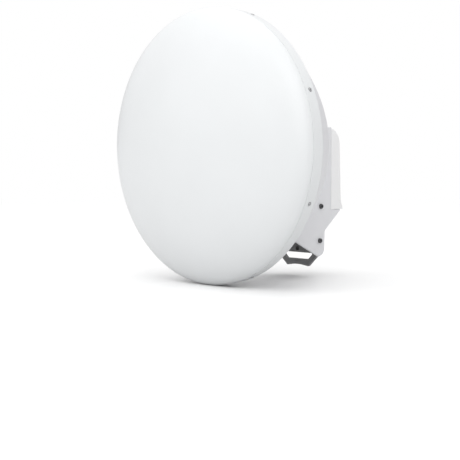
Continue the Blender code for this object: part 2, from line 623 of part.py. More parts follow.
def lock_slot():
    """Outline of the curved slot, centred on the pivot, that the lock screw runs in."""
    offset = LOCK - PIVOT
    reach, middle = offset.length, math.degrees(math.atan2(offset.z, offset.y))
    swing = TILT_LIMIT + SLOT_MARGIN
    near = arc(PIVOT.y, PIVOT.z, reach - SLOT_HALF_WIDTH, middle - swing, middle + swing, 8)
    far = arc(PIVOT.y, PIVOT.z, reach + SLOT_HALF_WIDTH, middle + swing, middle - swing, 8)

    def end_cap(turn, start):
        y = PIVOT.y + reach * math.cos(math.radians(turn))
        z = PIVOT.z + reach * math.sin(math.radians(turn))
        return arc(y, z, SLOT_HALF_WIDTH, start, start - 180, 6)[1:-1]

    high, low = middle + swing, middle - swing
    return near + end_cap(high, high + 180) + far + end_cap(low, low)


def make_bracket():
    plate = prism(plate_outline(), "Y", PLATE_FRONT, PLATE_REAR)
    bracket = solid("tilt_bracket", plate, "grey_casting", None, ORIGIN.copy())
    arms = [(-ARM_OUTER, -ARM_INNER), (ARM_INNER, ARM_OUTER)]
    through = [(low - 2, high + 2) for low, high in arms]
    reshape(bracket, "arms", together(*[prism(arm_outline(), "X", *arm) for arm in arms]), "UNION")
    slots = [prism(lock_slot(), "X", *span) for span in through]
    reshape(bracket, "lock_slots", together(*slots))
    pivots = [rod(PIVOT, (1, 0, 0), PIVOT_HOLE_R, *span, 16) for span in through]
    reshape(bracket, "pivot_holes", together(*pivots))
    reshape(bracket, "openings", together(*plate_openings()))


def plate_openings():
    """The loop, a window beside each arm, the bolt holes, and the blind hole between them."""
    front, rear = PLATE_FRONT - 10, PLATE_REAR + 9
    loop = [(-LOOP_TOP_HALF, LOOP_TOP), (-LOOP_FOOT_HALF, LOOP_FOOT)]
    loop += [(LOOP_FOOT_HALF, LOOP_FOOT), (LOOP_TOP_HALF, LOOP_TOP)]
    openings = [prism(loop, "Y", front, rear)]
    for low, high in ((-ARM_INNER, -WINDOW_INNER), (WINDOW_INNER, ARM_INNER)):
        openings.append(box((low, front, WINDOW_FOOT), (high, rear, WINDOW_TOP)))
    for x in (-BOLT_X, BOLT_X):
        openings += [rod((x, 0, z), (0, 1, 0), BOLT_HOLE_R, front, rear) for z in BOLT_HEIGHTS]
    openings.append(rod((0, 0, PILOT_Z), (0, 1, 0), PILOT_R, front, PLATE_FRONT + PILOT_DEPTH))
    return openings


def make_side_fasteners(parent):
    """A pivot and a lock screw through each cheek, their nuts, and the pivot's bushes."""
    head = [(4, 42.3), (4, 44.2), (3.3, 45), (1.9, 45), (1.9, 43.6), (0, 43.6)]
    screw = [(0, 27), (2.5, 27), (2.5, 42.3)] + head
    nut = [(3.0, 29.1), (4.6, 29.1), (4.6, 33.4), (3.0, 33.4)]
    bush = [(2.65, 34), (4, 34), (4, 38.7), (6, 38.7), (6, 39.3), (2.65, 39.3)]
    for side, sign in (("left", LEFT), ("right", RIGHT)):
        axis = (sign, 0, 0)
        for name, place in (("pivot", PIVOT), ("lock", LOCK)):
            solid(f"{name}_screw_{side}", lathe(screw, 16, place, axis), "dark_steel", parent, place)
            solid(f"{name}_nut_{side}", lathe(nut, 6, place, axis), "steel", parent, place)
        solid(f"pivot_bush_{side}", lathe(bush, 16, PIVOT, axis), "nylon", None, PIVOT)


# ---------------------------------------------------------------- radio

def make_heatsink(parent):
    comb = [(-HEATSINK_HALF, HEATSINK_REAR), (HEATSINK_HALF, HEATSINK_REAR)]
    comb.append((HEATSINK_HALF, HEATSINK_FRONT))
    for x in FINS[::-1]:
        comb += [(x + FIN_HALF, HEATSINK_FRONT), (x + FIN_HALF, FIN_FRONT)]
        comb += [(x - FIN_HALF, FIN_FRONT), (x - FIN_HALF, HEATSINK_FRONT)]
    comb.append((-HEATSINK_HALF, HEATSINK_FRONT))
    shape = prism(comb, "Z", RADIO_FOOT, RADIO_TOP)
    heatsink = solid("radio_heatsink", shape, "aluminium", parent)
    holes = [rod((x, 0, z), (0, 1, 0), RADIO_HOLE_R, 168, 180) for x, z in RADIO_SCREWS]
    reshape(heatsink, "screw_holes", together(*holes))
    seat, top = HEATSINK_REAR + GAP, HEATSINK_REAR + 2.4
    screw = [(0, 169.2), (RADIO_SCREW_R, 169.2), (RADIO_SCREW_R, seat)]
    screw += [(RADIO_SCREW_HEAD_R, seat), (RADIO_SCREW_HEAD_R, top), (0, top)]
    for number, (x, z) in enumerate(RADIO_SCREWS, 1):
        solid(f"radio_screw_{number}", lathe(screw, 12, (x, 0, z)), "steel", parent)


def make_radio_case(parent):
    half, wall = RADIO_HALF, RADIO_WALL
    shape = box((-half, RADIO_FRONT, RADIO_FOOT), (half, RADIO_REAR, RADIO_TOP))
    case = solid("radio_case", shape, "white_plastic", parent)
    low = (wall - half, RADIO_FRONT - 5, RADIO_FOOT + wall)
    reshape(case, "hollow", box(low, (half - wall, RADIO_REAR - wall, RADIO_TOP - wall)))
    holes = [box((-6.5, 182.3, RADIO_FOOT - 2), (6.5, 194, RADIO_FOOT + 4))]
    left_port = (-RADIO_PORT[0], RADIO_PORT[1])
    for (x, y), radius in ((RADIO_PORT, 3.4), (left_port, 3.4), (BUTTON, 2.3), (LIGHT_PIPE, 2.0)):
        holes.append(rod((x, y, RADIO_FOOT), (0, 0, 1), radius, -4, 4))
    reshape(case, "ports", together(*holes))


def make_board(parent):
    shape = box((-BOARD_HALF, BOARD_FRONT, BOARD_FOOT), (BOARD_HALF, BOARD_REAR, BOARD_TOP))
    solid("radio_board", shape, "board", parent)
    seat = BOARD_REAR + GAP
    shape = box((-CAN_HALF, seat, CAN_FOOT), (CAN_HALF, seat + CAN_HEIGHT, CAN_TOP))
    can = solid("shield_can", shape, "steel", parent)
    half, rear = CAN_HALF - CAN_WALL, seat + CAN_HEIGHT - CAN_WALL
    hollow = box((-half, seat - 2, CAN_FOOT + CAN_WALL), (half, rear, CAN_TOP - CAN_WALL))
    reshape(can, "hollow", hollow)
    shape = box((-JACK_HALF, seat, JACK_FOOT), (JACK_HALF, JACK_REAR, JACK_TOP))
    jack = solid("ethernet_jack", shape, "steel", parent)
    opening = box((-PLUG_HALF, PLUG_FRONT, JACK_FOOT - 1), (PLUG_HALF, PLUG_REAR, PLUG_TOP))
    reshape(jack, "opening", opening)
    x, y = BUTTON
    low, high = (x - SWITCH_HALF, seat, SWITCH_FOOT), (x + SWITCH_HALF, y + SWITCH_HALF, SWITCH_TOP)
    solid("reset_switch", box(low, high), "black_plastic", parent)


def make_radio_controls(antenna):
    down, rest = (0, 0, -1), FLANGE_REST
    port = [(0, 62), (2, 62), (2, 70), (5, 70), (5, rest), (3.1, rest), (3.1, 79.5), (0, 79.5)]
    for side, sign in (("left", LEFT), ("right", RIGHT)):
        place = (sign * RADIO_PORT[0], RADIO_PORT[1], 0)
        solid(f"radio_port_{side}", lathe(port, 12, place, down), "brass", antenna)
    pipe = [(0, 66), (1.6, 66), (1.6, 70.7), (2.6, 70.7), (2.6, rest), (1.6, rest), (1.6, 75), (0, 75)]
    solid("light_pipe", lathe(pipe, 12, (*LIGHT_PIPE, 0), down), "clear", antenna)
    button = [(0, 70.6), (3, 70.6), (3, rest), (1.9, rest), (1.9, 76), (0, 76)]
    place = Vector((*BUTTON, 0))
    solid("reset_button", lathe(button, 12, place, down), "black_plastic", antenna, place)


def make_jumpers(parent):
    """A coaxial jumper on each side, hanging in a loop under the radio, with a nut at each end."""
    nut, neck = JUMPER_NUT_R, JUMPER_NECK_R
    radii = [nut, nut, neck, neck] + [JUMPER_R] * (JUMPER_STEPS + 1) + [neck, neck, nut, nut]
    for side, sign in (("left", LEFT), ("right", RIGHT)):
        (x0, y0), (x1, y1) = RADIO_PORT, OMT_PORT
        start, finish = Vector((sign * x0, y0, -94)), Vector((sign * x1, y1, -46))
        first, second = start - Vector((0, 0, 26)), finish - Vector((0, 0, 80))
        path = [Vector((sign * x0, y0, z)) for z in (-79.8, -87.8, -88.0, -93.5)]
        for k in range(JUMPER_STEPS + 1):
            t = k / JUMPER_STEPS
            path.append(start * (1 - t) ** 3 + first * 3 * t * (1 - t) ** 2
                        + second * 3 * t ** 2 * (1 - t) + finish * t ** 3)
        path += [Vector((sign * x1, y1, z)) for z in (-45.5, -40.0, -39.8, -31.8)]
        solid(f"jumper_{side}", sweep(path, radii, 8), "cable", parent)


# ---------------------------------------------------------------- assembly

def clear_scene():
    for obj in list(bpy.data.objects):
        bpy.data.objects.remove(obj, do_unlink=True)


def main():
    clear_scene()
    make_bracket()
    antenna = empty("tilt_axis", PIVOT)
    make_radome(antenna)
    make_skirt_screws(antenna)
    make_rear_shell(antenna)
    make_breather_vent(antenna)
    make_reflector(antenna)
    make_gasket(antenna)
    make_feed(antenna)
    make_omt(antenna)
    make_frame(antenna)
    make_cover(antenna)
    make_door(antenna)
    make_grommet(antenna)
    make_ground_screw(antenna)
    make_side_fasteners(antenna)
    make_heatsink(antenna)
    make_radio_case(antenna)
    make_board(antenna)
    make_radio_controls(antenna)
    make_jumpers(antenna)


main()
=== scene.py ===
"""Finished meshes, materials, light and camera for the outdoor wireless bridge.

Shapes are in millimetres in the dish's own frame: X to the right seen from in front, Y back from the
seam between dome and skirt, Z up from the axis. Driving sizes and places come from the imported
frame's boxes. Each piece stands for one CAD node and rides on its body.
"""
import json
import math

import bmesh
import bpy
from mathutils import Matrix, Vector


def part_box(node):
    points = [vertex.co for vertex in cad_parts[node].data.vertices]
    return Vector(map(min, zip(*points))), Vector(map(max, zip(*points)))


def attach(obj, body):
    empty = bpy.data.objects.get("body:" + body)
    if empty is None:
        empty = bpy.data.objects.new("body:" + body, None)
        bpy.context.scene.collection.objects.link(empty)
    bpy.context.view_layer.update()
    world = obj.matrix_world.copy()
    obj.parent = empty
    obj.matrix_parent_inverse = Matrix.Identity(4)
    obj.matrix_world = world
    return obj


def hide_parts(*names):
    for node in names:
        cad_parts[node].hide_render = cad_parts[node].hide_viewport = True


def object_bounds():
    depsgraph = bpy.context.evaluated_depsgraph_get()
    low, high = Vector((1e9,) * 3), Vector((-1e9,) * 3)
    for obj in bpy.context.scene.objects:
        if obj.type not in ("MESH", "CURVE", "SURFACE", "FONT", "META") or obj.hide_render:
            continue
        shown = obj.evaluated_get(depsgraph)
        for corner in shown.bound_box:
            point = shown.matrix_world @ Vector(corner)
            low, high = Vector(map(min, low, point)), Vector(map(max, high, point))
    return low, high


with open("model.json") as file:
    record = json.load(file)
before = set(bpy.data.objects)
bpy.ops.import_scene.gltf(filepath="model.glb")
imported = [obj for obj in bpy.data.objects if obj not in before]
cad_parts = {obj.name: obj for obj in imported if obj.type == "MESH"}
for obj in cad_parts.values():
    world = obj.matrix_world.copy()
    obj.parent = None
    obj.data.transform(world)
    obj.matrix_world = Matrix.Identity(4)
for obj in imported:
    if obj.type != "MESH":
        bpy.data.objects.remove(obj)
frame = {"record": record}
CAD_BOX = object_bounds()

MM = 0.001
ACROSS, BACK, DOWN = (1, 0, 0), (0, 1, 0), (0, 0, -1)
SIDES = ("left", "right")
CAD_SIDES = 48  # the CAD dish has flat sides, with corners on the true circle
CAD_FLAT = math.cos(math.pi / CAD_SIDES)  # share of the true radius that its box reaches
SKIRT_DEPTH = 19.3
BODY = {node: body for body, nodes in frame["record"]["behaviour"]["bodies"].items() for node in nodes}
RADOME_LOW, RADOME_HIGH = (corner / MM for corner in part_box("radome"))
SEAM_CENTRE = Vector((0, RADOME_HIGH.y - SKIRT_DEPTH, (RADOME_LOW.z + RADOME_HIGH.z) / 2))


def corners(node):
    """A CAD node's lowest and highest corner, in millimetres in the dish's frame."""
    return [corner / MM - SEAM_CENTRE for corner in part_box(node)]


def middle(node):
    low, high = corners(node)
    return (low + high) / 2


# Driving sizes, read from the frame
RADOME_R = RADOME_HIGH.x / CAD_FLAT
DOME_HEIGHT = SEAM_CENTRE.y - RADOME_LOW.y
DOME_POWER, DOME_ROOT = 2.2, 1.9  # exponents of the dome's superellipse
RADOME_WALL = 2.5
SHELL_LOW, SHELL_HIGH = corners("rear_shell")
SHELL_R = SHELL_HIGH.x / CAD_FLAT
SHELL_WALL = 2.4
BOWL_START = SKIRT_DEPTH + 0.3
BOWL_REACH = 158  # from the bowl's start to the vertex of its paraboloid
BOWL_SEAT = SHELL_HIGH.y  # flat seat for the housing, which cuts the paraboloid off
BOWL_ROUND = 29  # radius between the bowl and its seat
FEED_OPENING_R = 27
HUB_HOLE_R, RADIO_HOLE_R = 2.2, 1.5
HUB_SCREWS = [middle(f"hub_screw_{n}") for n in range(1, 5)]
RADIO_SCREWS = [middle(f"radio_screw_{n}") for n in range(1, 5)]
SKIRT_SCREWS = [middle(f"radome_screw_{n}") for n in range(1, 9)]

FRAME_LOW, FRAME_HIGH = corners("housing_frame")
HALF = FRAME_HIGH.x
WALL = 2.5
ROOF = FRAME_HIGH.z
COVER_LOW, COVER_HIGH = corners("rear_cover")
COVER_FOOT = COVER_LOW.z
COVER_WAIST = -78  # height where the cover's back turns out towards its foot
RAIL_FRONT = COVER_LOW.y
SEAM = RAIL_FRONT + 7.5  # depth of the joint between frame and cover
ROOF_ARC = (SEAM - 5.5, ROOF - 26, 26)
SLOPE_HEAD = Vector((0, FRAME_HIGH.y, COVER_FOOT - 2.3))
SLOPE_FOOT = SLOPE_HEAD + Vector((0, -34, -28.3))
SLOPE_UP = (SLOPE_HEAD - SLOPE_FOOT).normalized()
SLOPE_OUT = Vector((0, SLOPE_UP.z, -SLOPE_UP.y))
PIVOT = Vector((0, *middle("pivot_bush_left").yz))
LOCK = Vector((0, *middle("lock_screw_left").yz))
HINGE_UP, GROMMET_UP = 8.2, 23  # places on the sloping wall, up from its foot
DOOR_DEPTH = 1.25  # from the slope's surface to the door's hinge axis
COVER_GAP = 0.3  # between the cover's foot and the frame under it
PAST_X, PAST_Y, PAST_Z = 50, 260, 60  # clear of the housing, to the side, behind and above
LOCK_SWING = 8.4  # half the lock slots' length, in degrees round the pivot


# ---------------- shapes

NEARLY_STRAIGHT = math.radians(178)  # corners flatter than this stay as they are
MOST_OF_EDGE = 0.49  # share of an edge that one corner's rounding may take
SHARPEST_MITRE = 0.3


def arc(u, v, radius, first, last, steps):
    """Points on an arc, with angles in degrees from the first axis towards the second."""
    turns = [math.radians(first + (last - first) * k / steps) for k in range(steps + 1)]
    return [(u + radius * math.cos(t), v + radius * math.sin(t)) for t in turns]


def fillet(outline, default=0.0, steps=4):
    """Round the corners of a closed outline. A point is (u, v), or (u, v, radius)."""
    rounded = []
    for k, point in enumerate(outline):
        corner = Vector(point[:2])
        before = Vector(outline[k - 1][:2]) - corner
        after = Vector(outline[(k + 1) % len(outline)][:2]) - corner
        radius = point[2] if len(point) > 2 else default
        angle = before.angle(after)
        if radius <= 0 or angle > NEARLY_STRAIGHT:
            rounded.append(corner)
            continue
        reach = min(radius / math.tan(angle / 2), MOST_OF_EDGE * min(before.length, after.length))
        before, after = before.normalized(), after.normalized()
        centre = corner + (before + after).normalized() * (reach / math.cos(angle / 2))
        start, end = corner + before * reach - centre, corner + after * reach - centre
        first = math.degrees(math.atan2(start.y, start.x))
        swing = (math.degrees(math.atan2(end.y, end.x)) - first + 180) % 360 - 180
        rounded += [Vector(p) for p in arc(*centre, start.length, first, first + swing, steps)]
    return rounded


def inset(outline, distance):
    """Move a closed outline inwards by a distance, with mitred corners."""
    points = [Vector(p[:2]) for p in outline]
    area = sum(a.x * b.y - b.x * a.y for a, b in zip(points, points[1:] + points[:1]))
    sign = 1 if area > 0 else -1
    moved = []
    for k, point in enumerate(points):
        before = (point - points[k - 1]).normalized()
        after = (points[(k + 1) % len(points)] - point).normalized()
        inward = Vector((-before.y, before.x)) + Vector((-after.y, after.x))
        inward = inward.normalized() * sign
        lean = max(inward.dot(Vector((-after.y, after.x)) * sign), SHARPEST_MITRE)
        moved.append(point + inward * distance / lean)
    return moved


def lathe(profile, centre=(0, 0, 0), axis=BACK, sides=48, look=0):
    """Turn a closed outline of (radius, along) points about an axis.

    A radius may be a function of the turn.
    """
    bm = bmesh.new()
    aim = Vector((0, 0, 1)).rotation_difference(Vector(axis)).to_matrix()
    rings = []
    for radius, along in profile:
        reach = radius if callable(radius) else lambda turn, r=radius: r
        steps = 1 if radius == 0 else sides
        ring = []
        for k in range(steps):
            turn = k * math.tau / sides
            local = Vector((reach(turn) * math.cos(turn), reach(turn) * math.sin(turn), along))
            ring.append(bm.verts.new(Vector(centre) + aim @ local))
        rings.append(ring)
    for ring, following in zip(rings, rings[1:] + rings[:1]):
        if len(ring) == len(following) == 1:
            continue
        for k in range(sides):
            n = (k + 1) % sides
            around = [ring[k % len(ring)], ring[n % len(ring)]]
            around += [following[n % len(following)], following[k % len(following)]]
            bm.faces.new(list(dict.fromkeys(around)))
    return closed(bm, look)


def prism(outline, along, low, high, edge=0.0, look=0, grooves=()):
    """Extrude an outline along X, Y or Z, with rounded end edges.

    Each of the grooves is a (start, end) pair, and is square.
    """
    bm = bmesh.new()
    spot = "XYZ".index(along)
    groove = 0.6
    steps = 4 if edge else 0
    ends = [(edge * (1 - math.sin(t)), edge * (1 - math.cos(t)))
            for t in [math.pi / 2 * k / max(steps, 1) for k in range(steps + 1)]]
    levels = [(shrink, low + rise) for shrink, rise in ends]
    for start, end in grooves:
        levels += [(0, start), (groove, start), (groove, end), (0, end)]
    levels += [(shrink, high - rise) for shrink, rise in ends[::-1]]
    rings = []
    for shrink, level in levels:
        ring = []
        for point in inset(outline, shrink):
            place = list(point)
            place.insert(spot, level)
            ring.append(bm.verts.new(place))
        rings.append(ring)
    return capped(bm, rings, look)


def sweep(path, radius, sides):
    """A round bar along a path."""
    bm = bmesh.new()
    rings = []
    across = Vector(ACROSS)
    for k, point in enumerate(path):
        ahead = (path[min(k + 1, len(path) - 1)] - path[max(k - 1, 0)]).normalized()
        first = (across - across.dot(ahead) * ahead).normalized()
        second = ahead.cross(first)
        turns = [j * math.tau / sides for j in range(sides)]
        around = [first * math.cos(t) + second * math.sin(t) for t in turns]
        rings.append([bm.verts.new(point + radius * d) for d in around])
    return capped(bm, rings, 0)


def capped(bm, rings, look):
    """Rings of vertices joined into a solid, with a face at each end."""
    bm.faces.new(rings[0])
    bm.faces.new(rings[-1])
    for ring, following in zip(rings, rings[1:]):
        for k in range(len(ring)):
            n = (k + 1) % len(ring)
            bm.faces.new([ring[k], ring[n], following[n], following[k]])
    return closed(bm, look)


def closed(bm, look):
    """The same mesh with its faces turned outwards and all in one look."""
    bmesh.ops.recalc_face_normals(bm, faces=bm.faces)
    for face in bm.faces:
        face.material_index = look
    return bm


def block(low, high, corner=0.0, edge=0.0, along="Z", look=0):
    """A box with rounded corners along one axis and rounded edges at its ends."""
    spot = "XYZ".index(along)
    u0, v0 = [c for k, c in enumerate(low) if k != spot]
    u1, v1 = [c for k, c in enumerate(high) if k != spot]
    outline = fillet([(u0, v0), (u1, v0), (u1, v1), (u0, v1)], corner)
    return prism(outline, along, low[spot], high[spot], edge, look)


def rod(centre, axis, radius, low, high, sides):
    return lathe([(0, low), (radius, low), (radius, high), (0, high)], centre, axis, sides)


def drills(spots, radius, low, high, sides=20):
    """Rods that run back through each of several places."""
    return [rod((spot.x, 0, spot.z), BACK, radius, low, high, sides) for spot in spots]


def together(*shapes):
    """Several shapes in one mesh."""
    whole = bmesh.new()
    for shape in shapes:
        mesh = bpy.data.meshes.new("shape")
        shape.to_mesh(mesh)
        whole.from_mesh(mesh)
        bpy.data.meshes.remove(mesh)
        shape.free()
    return whole


def hexagon(flats, limit=1e9):
    """Radius of a hexagon at a turn, from its width across flats, cut to a circle of a limit."""
    def radius(turn):
        off = (turn + math.pi / 6) % (math.pi / 3) - math.pi / 6
        return min(flats / 2 / math.cos(off), limit)
    return radius


def scallops(radius, count, depth):
    """Radius of a gripped rim: a circle with shallow hollows round it."""
    return lambda turn: radius - depth * abs(math.sin(count * turn / 2))


def thread(radius, low, high, pitch):
    """Outline points of a screw thread's crests and roots between two distances."""
    depth = 0.3
    turns = max(int((high - low) / pitch), 1)
    step = (high - low) / turns
    points = []
    for k in range(turns):
        points += [(radius, low + k * step), (radius - depth, low + (k + 0.5) * step)]
    return points + [(radius, high)]


def shank(radius, nose, tip, threaded, pitch, seat, bevel=0.5):
    """Outline of a screw's shank, from its bevelled tip past the thread's end to its seat."""
    points = [(0, tip), (nose, tip), (radius, tip + bevel)]
    return points + thread(radius, tip + bevel + 0.1, threaded, pitch) + [(radius, seat)]


def head(radius, seat, height, socket):
    """Outline of a button head with a hexagon socket, from its seat to the socket's floor."""
    top = seat + height
    crown = min(height * 0.55, radius * 0.3)
    points = [(radius, seat), (radius, top - crown)]
    points += arc(radius - crown, top - crown, crown, 12, 78, 4)
    rim = socket / 2 / math.cos(math.pi / 6)
    points += [(rim + 0.25, top), (hexagon(socket), top - 0.25), (hexagon(socket), top - height * 0.62)]
    return points + [(0, top - height * 0.7)]


# ---------------- pieces

def placed(name, data):
    """A new object in the scene."""
    obj = bpy.data.objects.new(name, data)
    bpy.context.collection.objects.link(obj)
    return obj


def as_object(name, shape):
    """An object of a shape, in metres in the frame's own axes."""
    bmesh.ops.scale(shape, vec=(MM, MM, MM), verts=shape.verts)
    bmesh.ops.translate(shape, vec=SEAM_CENTRE * MM, verts=shape.verts)
    mesh = bpy.data.meshes.new(name)
    shape.to_mesh(mesh)
    shape.free()
    return placed(name, mesh)


def carve(obj, *shapes, operation="DIFFERENCE"):
    """Cut shapes out of a piece, or add them on, and keep only the result."""
    tool = as_object("tool", together(*shapes))
    step = obj.modifiers.new("carve", "BOOLEAN")
    step.operation = operation
    step.object = tool
    result = bpy.data.meshes.new_from_object(obj.evaluated_get(bpy.context.evaluated_depsgraph_get()))
    obj.modifiers.clear()
    spent = [obj.data, tool.data]
    obj.data = result
    bpy.data.objects.remove(tool)
    for mesh in spent:
        bpy.data.meshes.remove(mesh)


def piece(node, shape, *looks):
    """A finished mesh that stands for a CAD node and rides on its body."""
    obj = as_object(node + "_finished", shape)
    for name in looks:
        obj.data.materials.append(LOOKS[name])
    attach(obj, BODY[node])
    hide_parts(node)
    return obj


def shade(obj, sharp=32, weighted=True):
    """Smooth shading that keeps flat faces flat and true edges sharp."""
    obj.data.shade_smooth()
    obj.data.set_sharp_from_angle(angle=math.radians(sharp))
    if weighted:
        even = obj.modifiers.new("even_normals", "WEIGHTED_NORMAL")
        even.keep_sharp = True


def turned(node, look, profile, centre=(0, 0, 0), axis=BACK, sides=48):
    """A finished piece of one turned shape."""
    shade(piece(node, lathe(profile, centre, axis, sides), look))


# ---------------- materials

NOISE_SPAN = (0.3, 0.7)  # where nearly all of a noise texture's values lie
BUMP_STRENGTH = 0.6


def put(node, **values):
    """Set a shader node's inputs by name, with spaces as underscores."""
    for name, value in values.items():
        node.inputs[name.replace("_", " ")].default_value = value


def add(tree, kind, **values):
    """A new shader node with some of its inputs set."""
    node = tree.nodes.new("ShaderNode" + kind)
    put(node, **values)
    return node


def noise(tree, vector, scale, detail):
    node = add(tree, "TexNoise", Scale=scale, Detail=detail)
    tree.links.new(vector, node.inputs["Vector"])
    return node.outputs["Fac"]


def remap(tree, value, source, target):
    """A value moved from one range to another, and clamped there."""
    (low, high), (bottom, top) = source, target
    node = add(tree, "MapRange", From_Min=low, From_Max=high, To_Min=bottom, To_Max=top)
    tree.links.new(value, node.inputs["Value"])
    return node.outputs["Result"]


def tints(tree, value, first, second):
    """A colour between two, picked by a noise value."""
    node = add(tree, "ValToRGB")
    for stop, place, colour in zip(node.color_ramp.elements, NOISE_SPAN, (first, second)):
        stop.position = place
        stop.color = (*colour, 1)
    tree.links.new(value, node.inputs["Fac"])
    return node.outputs["Color"]


def surface(name, colour, roughness, metallic=0.0, *, shift, relief, patch=14, grain=1400,
            stretch=(1, 1, 1), spread=0.06, transmission=0.0):
    """A material with drifting colour and roughness over patches, and a fine grain in relief.

    The shift is the share by which the colour drifts, the relief is in millimetres, and patch and
    grain are noise scales.
    """
    mat = bpy.data.materials.new(name)
    mat.use_nodes = True
    tree = mat.node_tree
    link = tree.links.new
    shader = tree.nodes["Principled BSDF"]
    put(shader, Metallic=metallic, Transmission_Weight=transmission)
    place = add(tree, "TexCoord").outputs["Object"]
    drift = noise(tree, place, patch, 5)
    darker = [c * (1 - shift) for c in colour]
    lighter = [min(c * (1 + shift), 1) for c in colour]
    link(tints(tree, drift, darker, lighter), shader.inputs["Base Color"])
    mapping = add(tree, "Mapping", Scale=stretch)
    link(place, mapping.inputs["Vector"])
    fine = noise(tree, mapping.outputs["Vector"], grain, 2)
    rough = noise(tree, mapping.outputs["Vector"], grain / 12, 4)
    span = (max(roughness - spread, 0.02), min(roughness + spread, 1))
    link(remap(tree, rough, NOISE_SPAN, span), shader.inputs["Roughness"])
    bump = add(tree, "Bump", Strength=BUMP_STRENGTH, Distance=relief * MM)
    link(fine, bump.inputs["Height"])
    link(bump.outputs["Normal"], shader.inputs["Normal"])
    return mat


def worn(mat, colour, width):
    """Bare or polished edges: where the rounded normal turns away, the colour changes in flecks."""
    fleck_grain, most = 260, 0.7
    flat, turned_away = 0.97, 0.75  # how far the two normals agree on a face and at an edge
    first_colour, second_colour, mixed_colour = 6, 7, 2  # the mix node's colour sockets
    tree = mat.node_tree
    link = tree.links.new
    shader = tree.nodes["Principled BSDF"]
    soft = add(tree, "Bevel", Radius=width * MM)
    soft.samples = 4
    lean = add(tree, "VectorMath")
    lean.operation = "DOT_PRODUCT"
    link(soft.outputs["Normal"], lean.inputs[0])
    link(add(tree, "NewGeometry").outputs["Normal"], lean.inputs[1])
    edge = remap(tree, lean.outputs["Value"], (flat, turned_away), (0, 1))
    place = add(tree, "TexCoord").outputs["Object"]
    flecks = remap(tree, noise(tree, place, fleck_grain, 6), (0.45, 0.6), (0, most))
    share = add(tree, "Math")
    share.operation = "MULTIPLY"
    link(edge, share.inputs[0])
    link(flecks, share.inputs[1])
    blend = add(tree, "Mix")
    blend.data_type = "RGBA"
    blend.inputs[second_colour].default_value = (*colour, 1)
    link(share.outputs[0], blend.inputs[0])
    link(shader.inputs["Base Color"].links[0].from_socket, blend.inputs[first_colour])
    link(blend.outputs[mixed_colour], shader.inputs["Base Color"])
    return mat


LOOKS = {
    "radome": surface("radome_plastic", (0.715, 0.729, 0.737), 0.32, shift=0.012, patch=9,
                      relief=0.006, spread=0.03),
    "shell": surface("shell_coat", (0.72, 0.722, 0.742), 0.5, shift=0.015, grain=900, relief=0.03),
    "cover": surface("cover_plastic", (0.83, 0.83, 0.834), 0.46, shift=0.012, grain=1100, relief=0.02),
    "casting": worn(surface("casting_coat", (0.235, 0.235, 0.24), 0.5, 0.2, shift=0.12, patch=40,
                            grain=650, relief=0.09), (0.36, 0.36, 0.37), 0.5),
    "black_steel": worn(surface("black_steel", (0.10, 0.10, 0.105), 0.36, 0.9, shift=0.1, patch=90,
                                grain=1200, relief=0.01), (0.28, 0.28, 0.29), 0.2),
    "steel": worn(surface("stainless_steel", (0.48, 0.48, 0.49), 0.32, 1.0, shift=0.06, patch=60,
                          grain=700, relief=0.01, stretch=(1, 1, 9)), (0.7, 0.7, 0.7), 0.2),
    "aluminium": surface("chromated_aluminium", (0.72, 0.73, 0.74), 0.36, 1.0, shift=0.05, patch=30,
                         grain=500, relief=0.012, stretch=(7, 1, 1)),
    "brass": worn(surface("plated_brass", (0.75, 0.56, 0.25), 0.25, 1.0, shift=0.06, patch=90,
                          grain=900, relief=0.006), (0.9, 0.75, 0.45), 0.2),
    "rubber": surface("silicone_rubber", (0.028, 0.028, 0.03), 0.72, shift=0.15, grain=900, relief=0.03),
    "dielectric": surface("milky_dielectric", (0.84, 0.83, 0.77), 0.5, shift=0.02, relief=0.01),
    "black_plastic": surface("black_plastic", (0.03, 0.03, 0.034), 0.48, shift=0.12, relief=0.03),
    "board": surface("solder_mask", (0.015, 0.13, 0.05), 0.38, shift=0.18, patch=160, grain=420,
                     relief=0.015, stretch=(1, 1, 5)),
    "cable": surface("cable_jacket", (0.03, 0.03, 0.034), 0.5, shift=0.12, patch=50, grain=800,
                     relief=0.02),
    "clear": surface("clear_acrylic", (0.85, 0.93, 0.97), 0.12, shift=0.01, relief=0.002,
                     transmission=0.9),
    "nylon": surface("natural_nylon", (0.70, 0.69, 0.63), 0.55, shift=0.04, patch=50, relief=0.015),
}


# ---------------- dish

def dome_curve(rim, height, widest, steps):
    """Dome points from the axis out to the radius called widest."""
    last = math.asin(widest / rim)
    points = []
    for k in range(steps + 1):
        radius = rim * math.sin(last * k / steps)
        share = max(1 - (radius / rim) ** DOME_POWER, 0)
        points.append((radius, -height * share ** (1 / DOME_ROOT)))
    return points


def bowl_curve(distance=0.0):
    """Rear shell's bowl, from its rim round its shoulder to the flat seat, moved outwards."""
    whole, curved, steps = BOWL_SEAT - BOWL_START, 0.75, 40
    rises = [curved * whole * k / steps for k in range(steps + 1)] + [whole]
    curve = [(SHELL_R * math.sqrt(1 - rise / BOWL_REACH), BOWL_START + rise) for rise in rises]
    outline = [(0, 0), (SHELL_R, 0)] + curve[:-1] + [(*curve[-1], BOWL_ROUND), (0, BOWL_SEAT)]
    moved = inset(fillet(outline, steps=10), -distance)
    return [(point.x, point.y) for point in moved[2:-1]]


def skirt_axis(place):
    """Outward direction of a skirt screw."""
    return Vector((place.x, 0, place.z)).normalized()


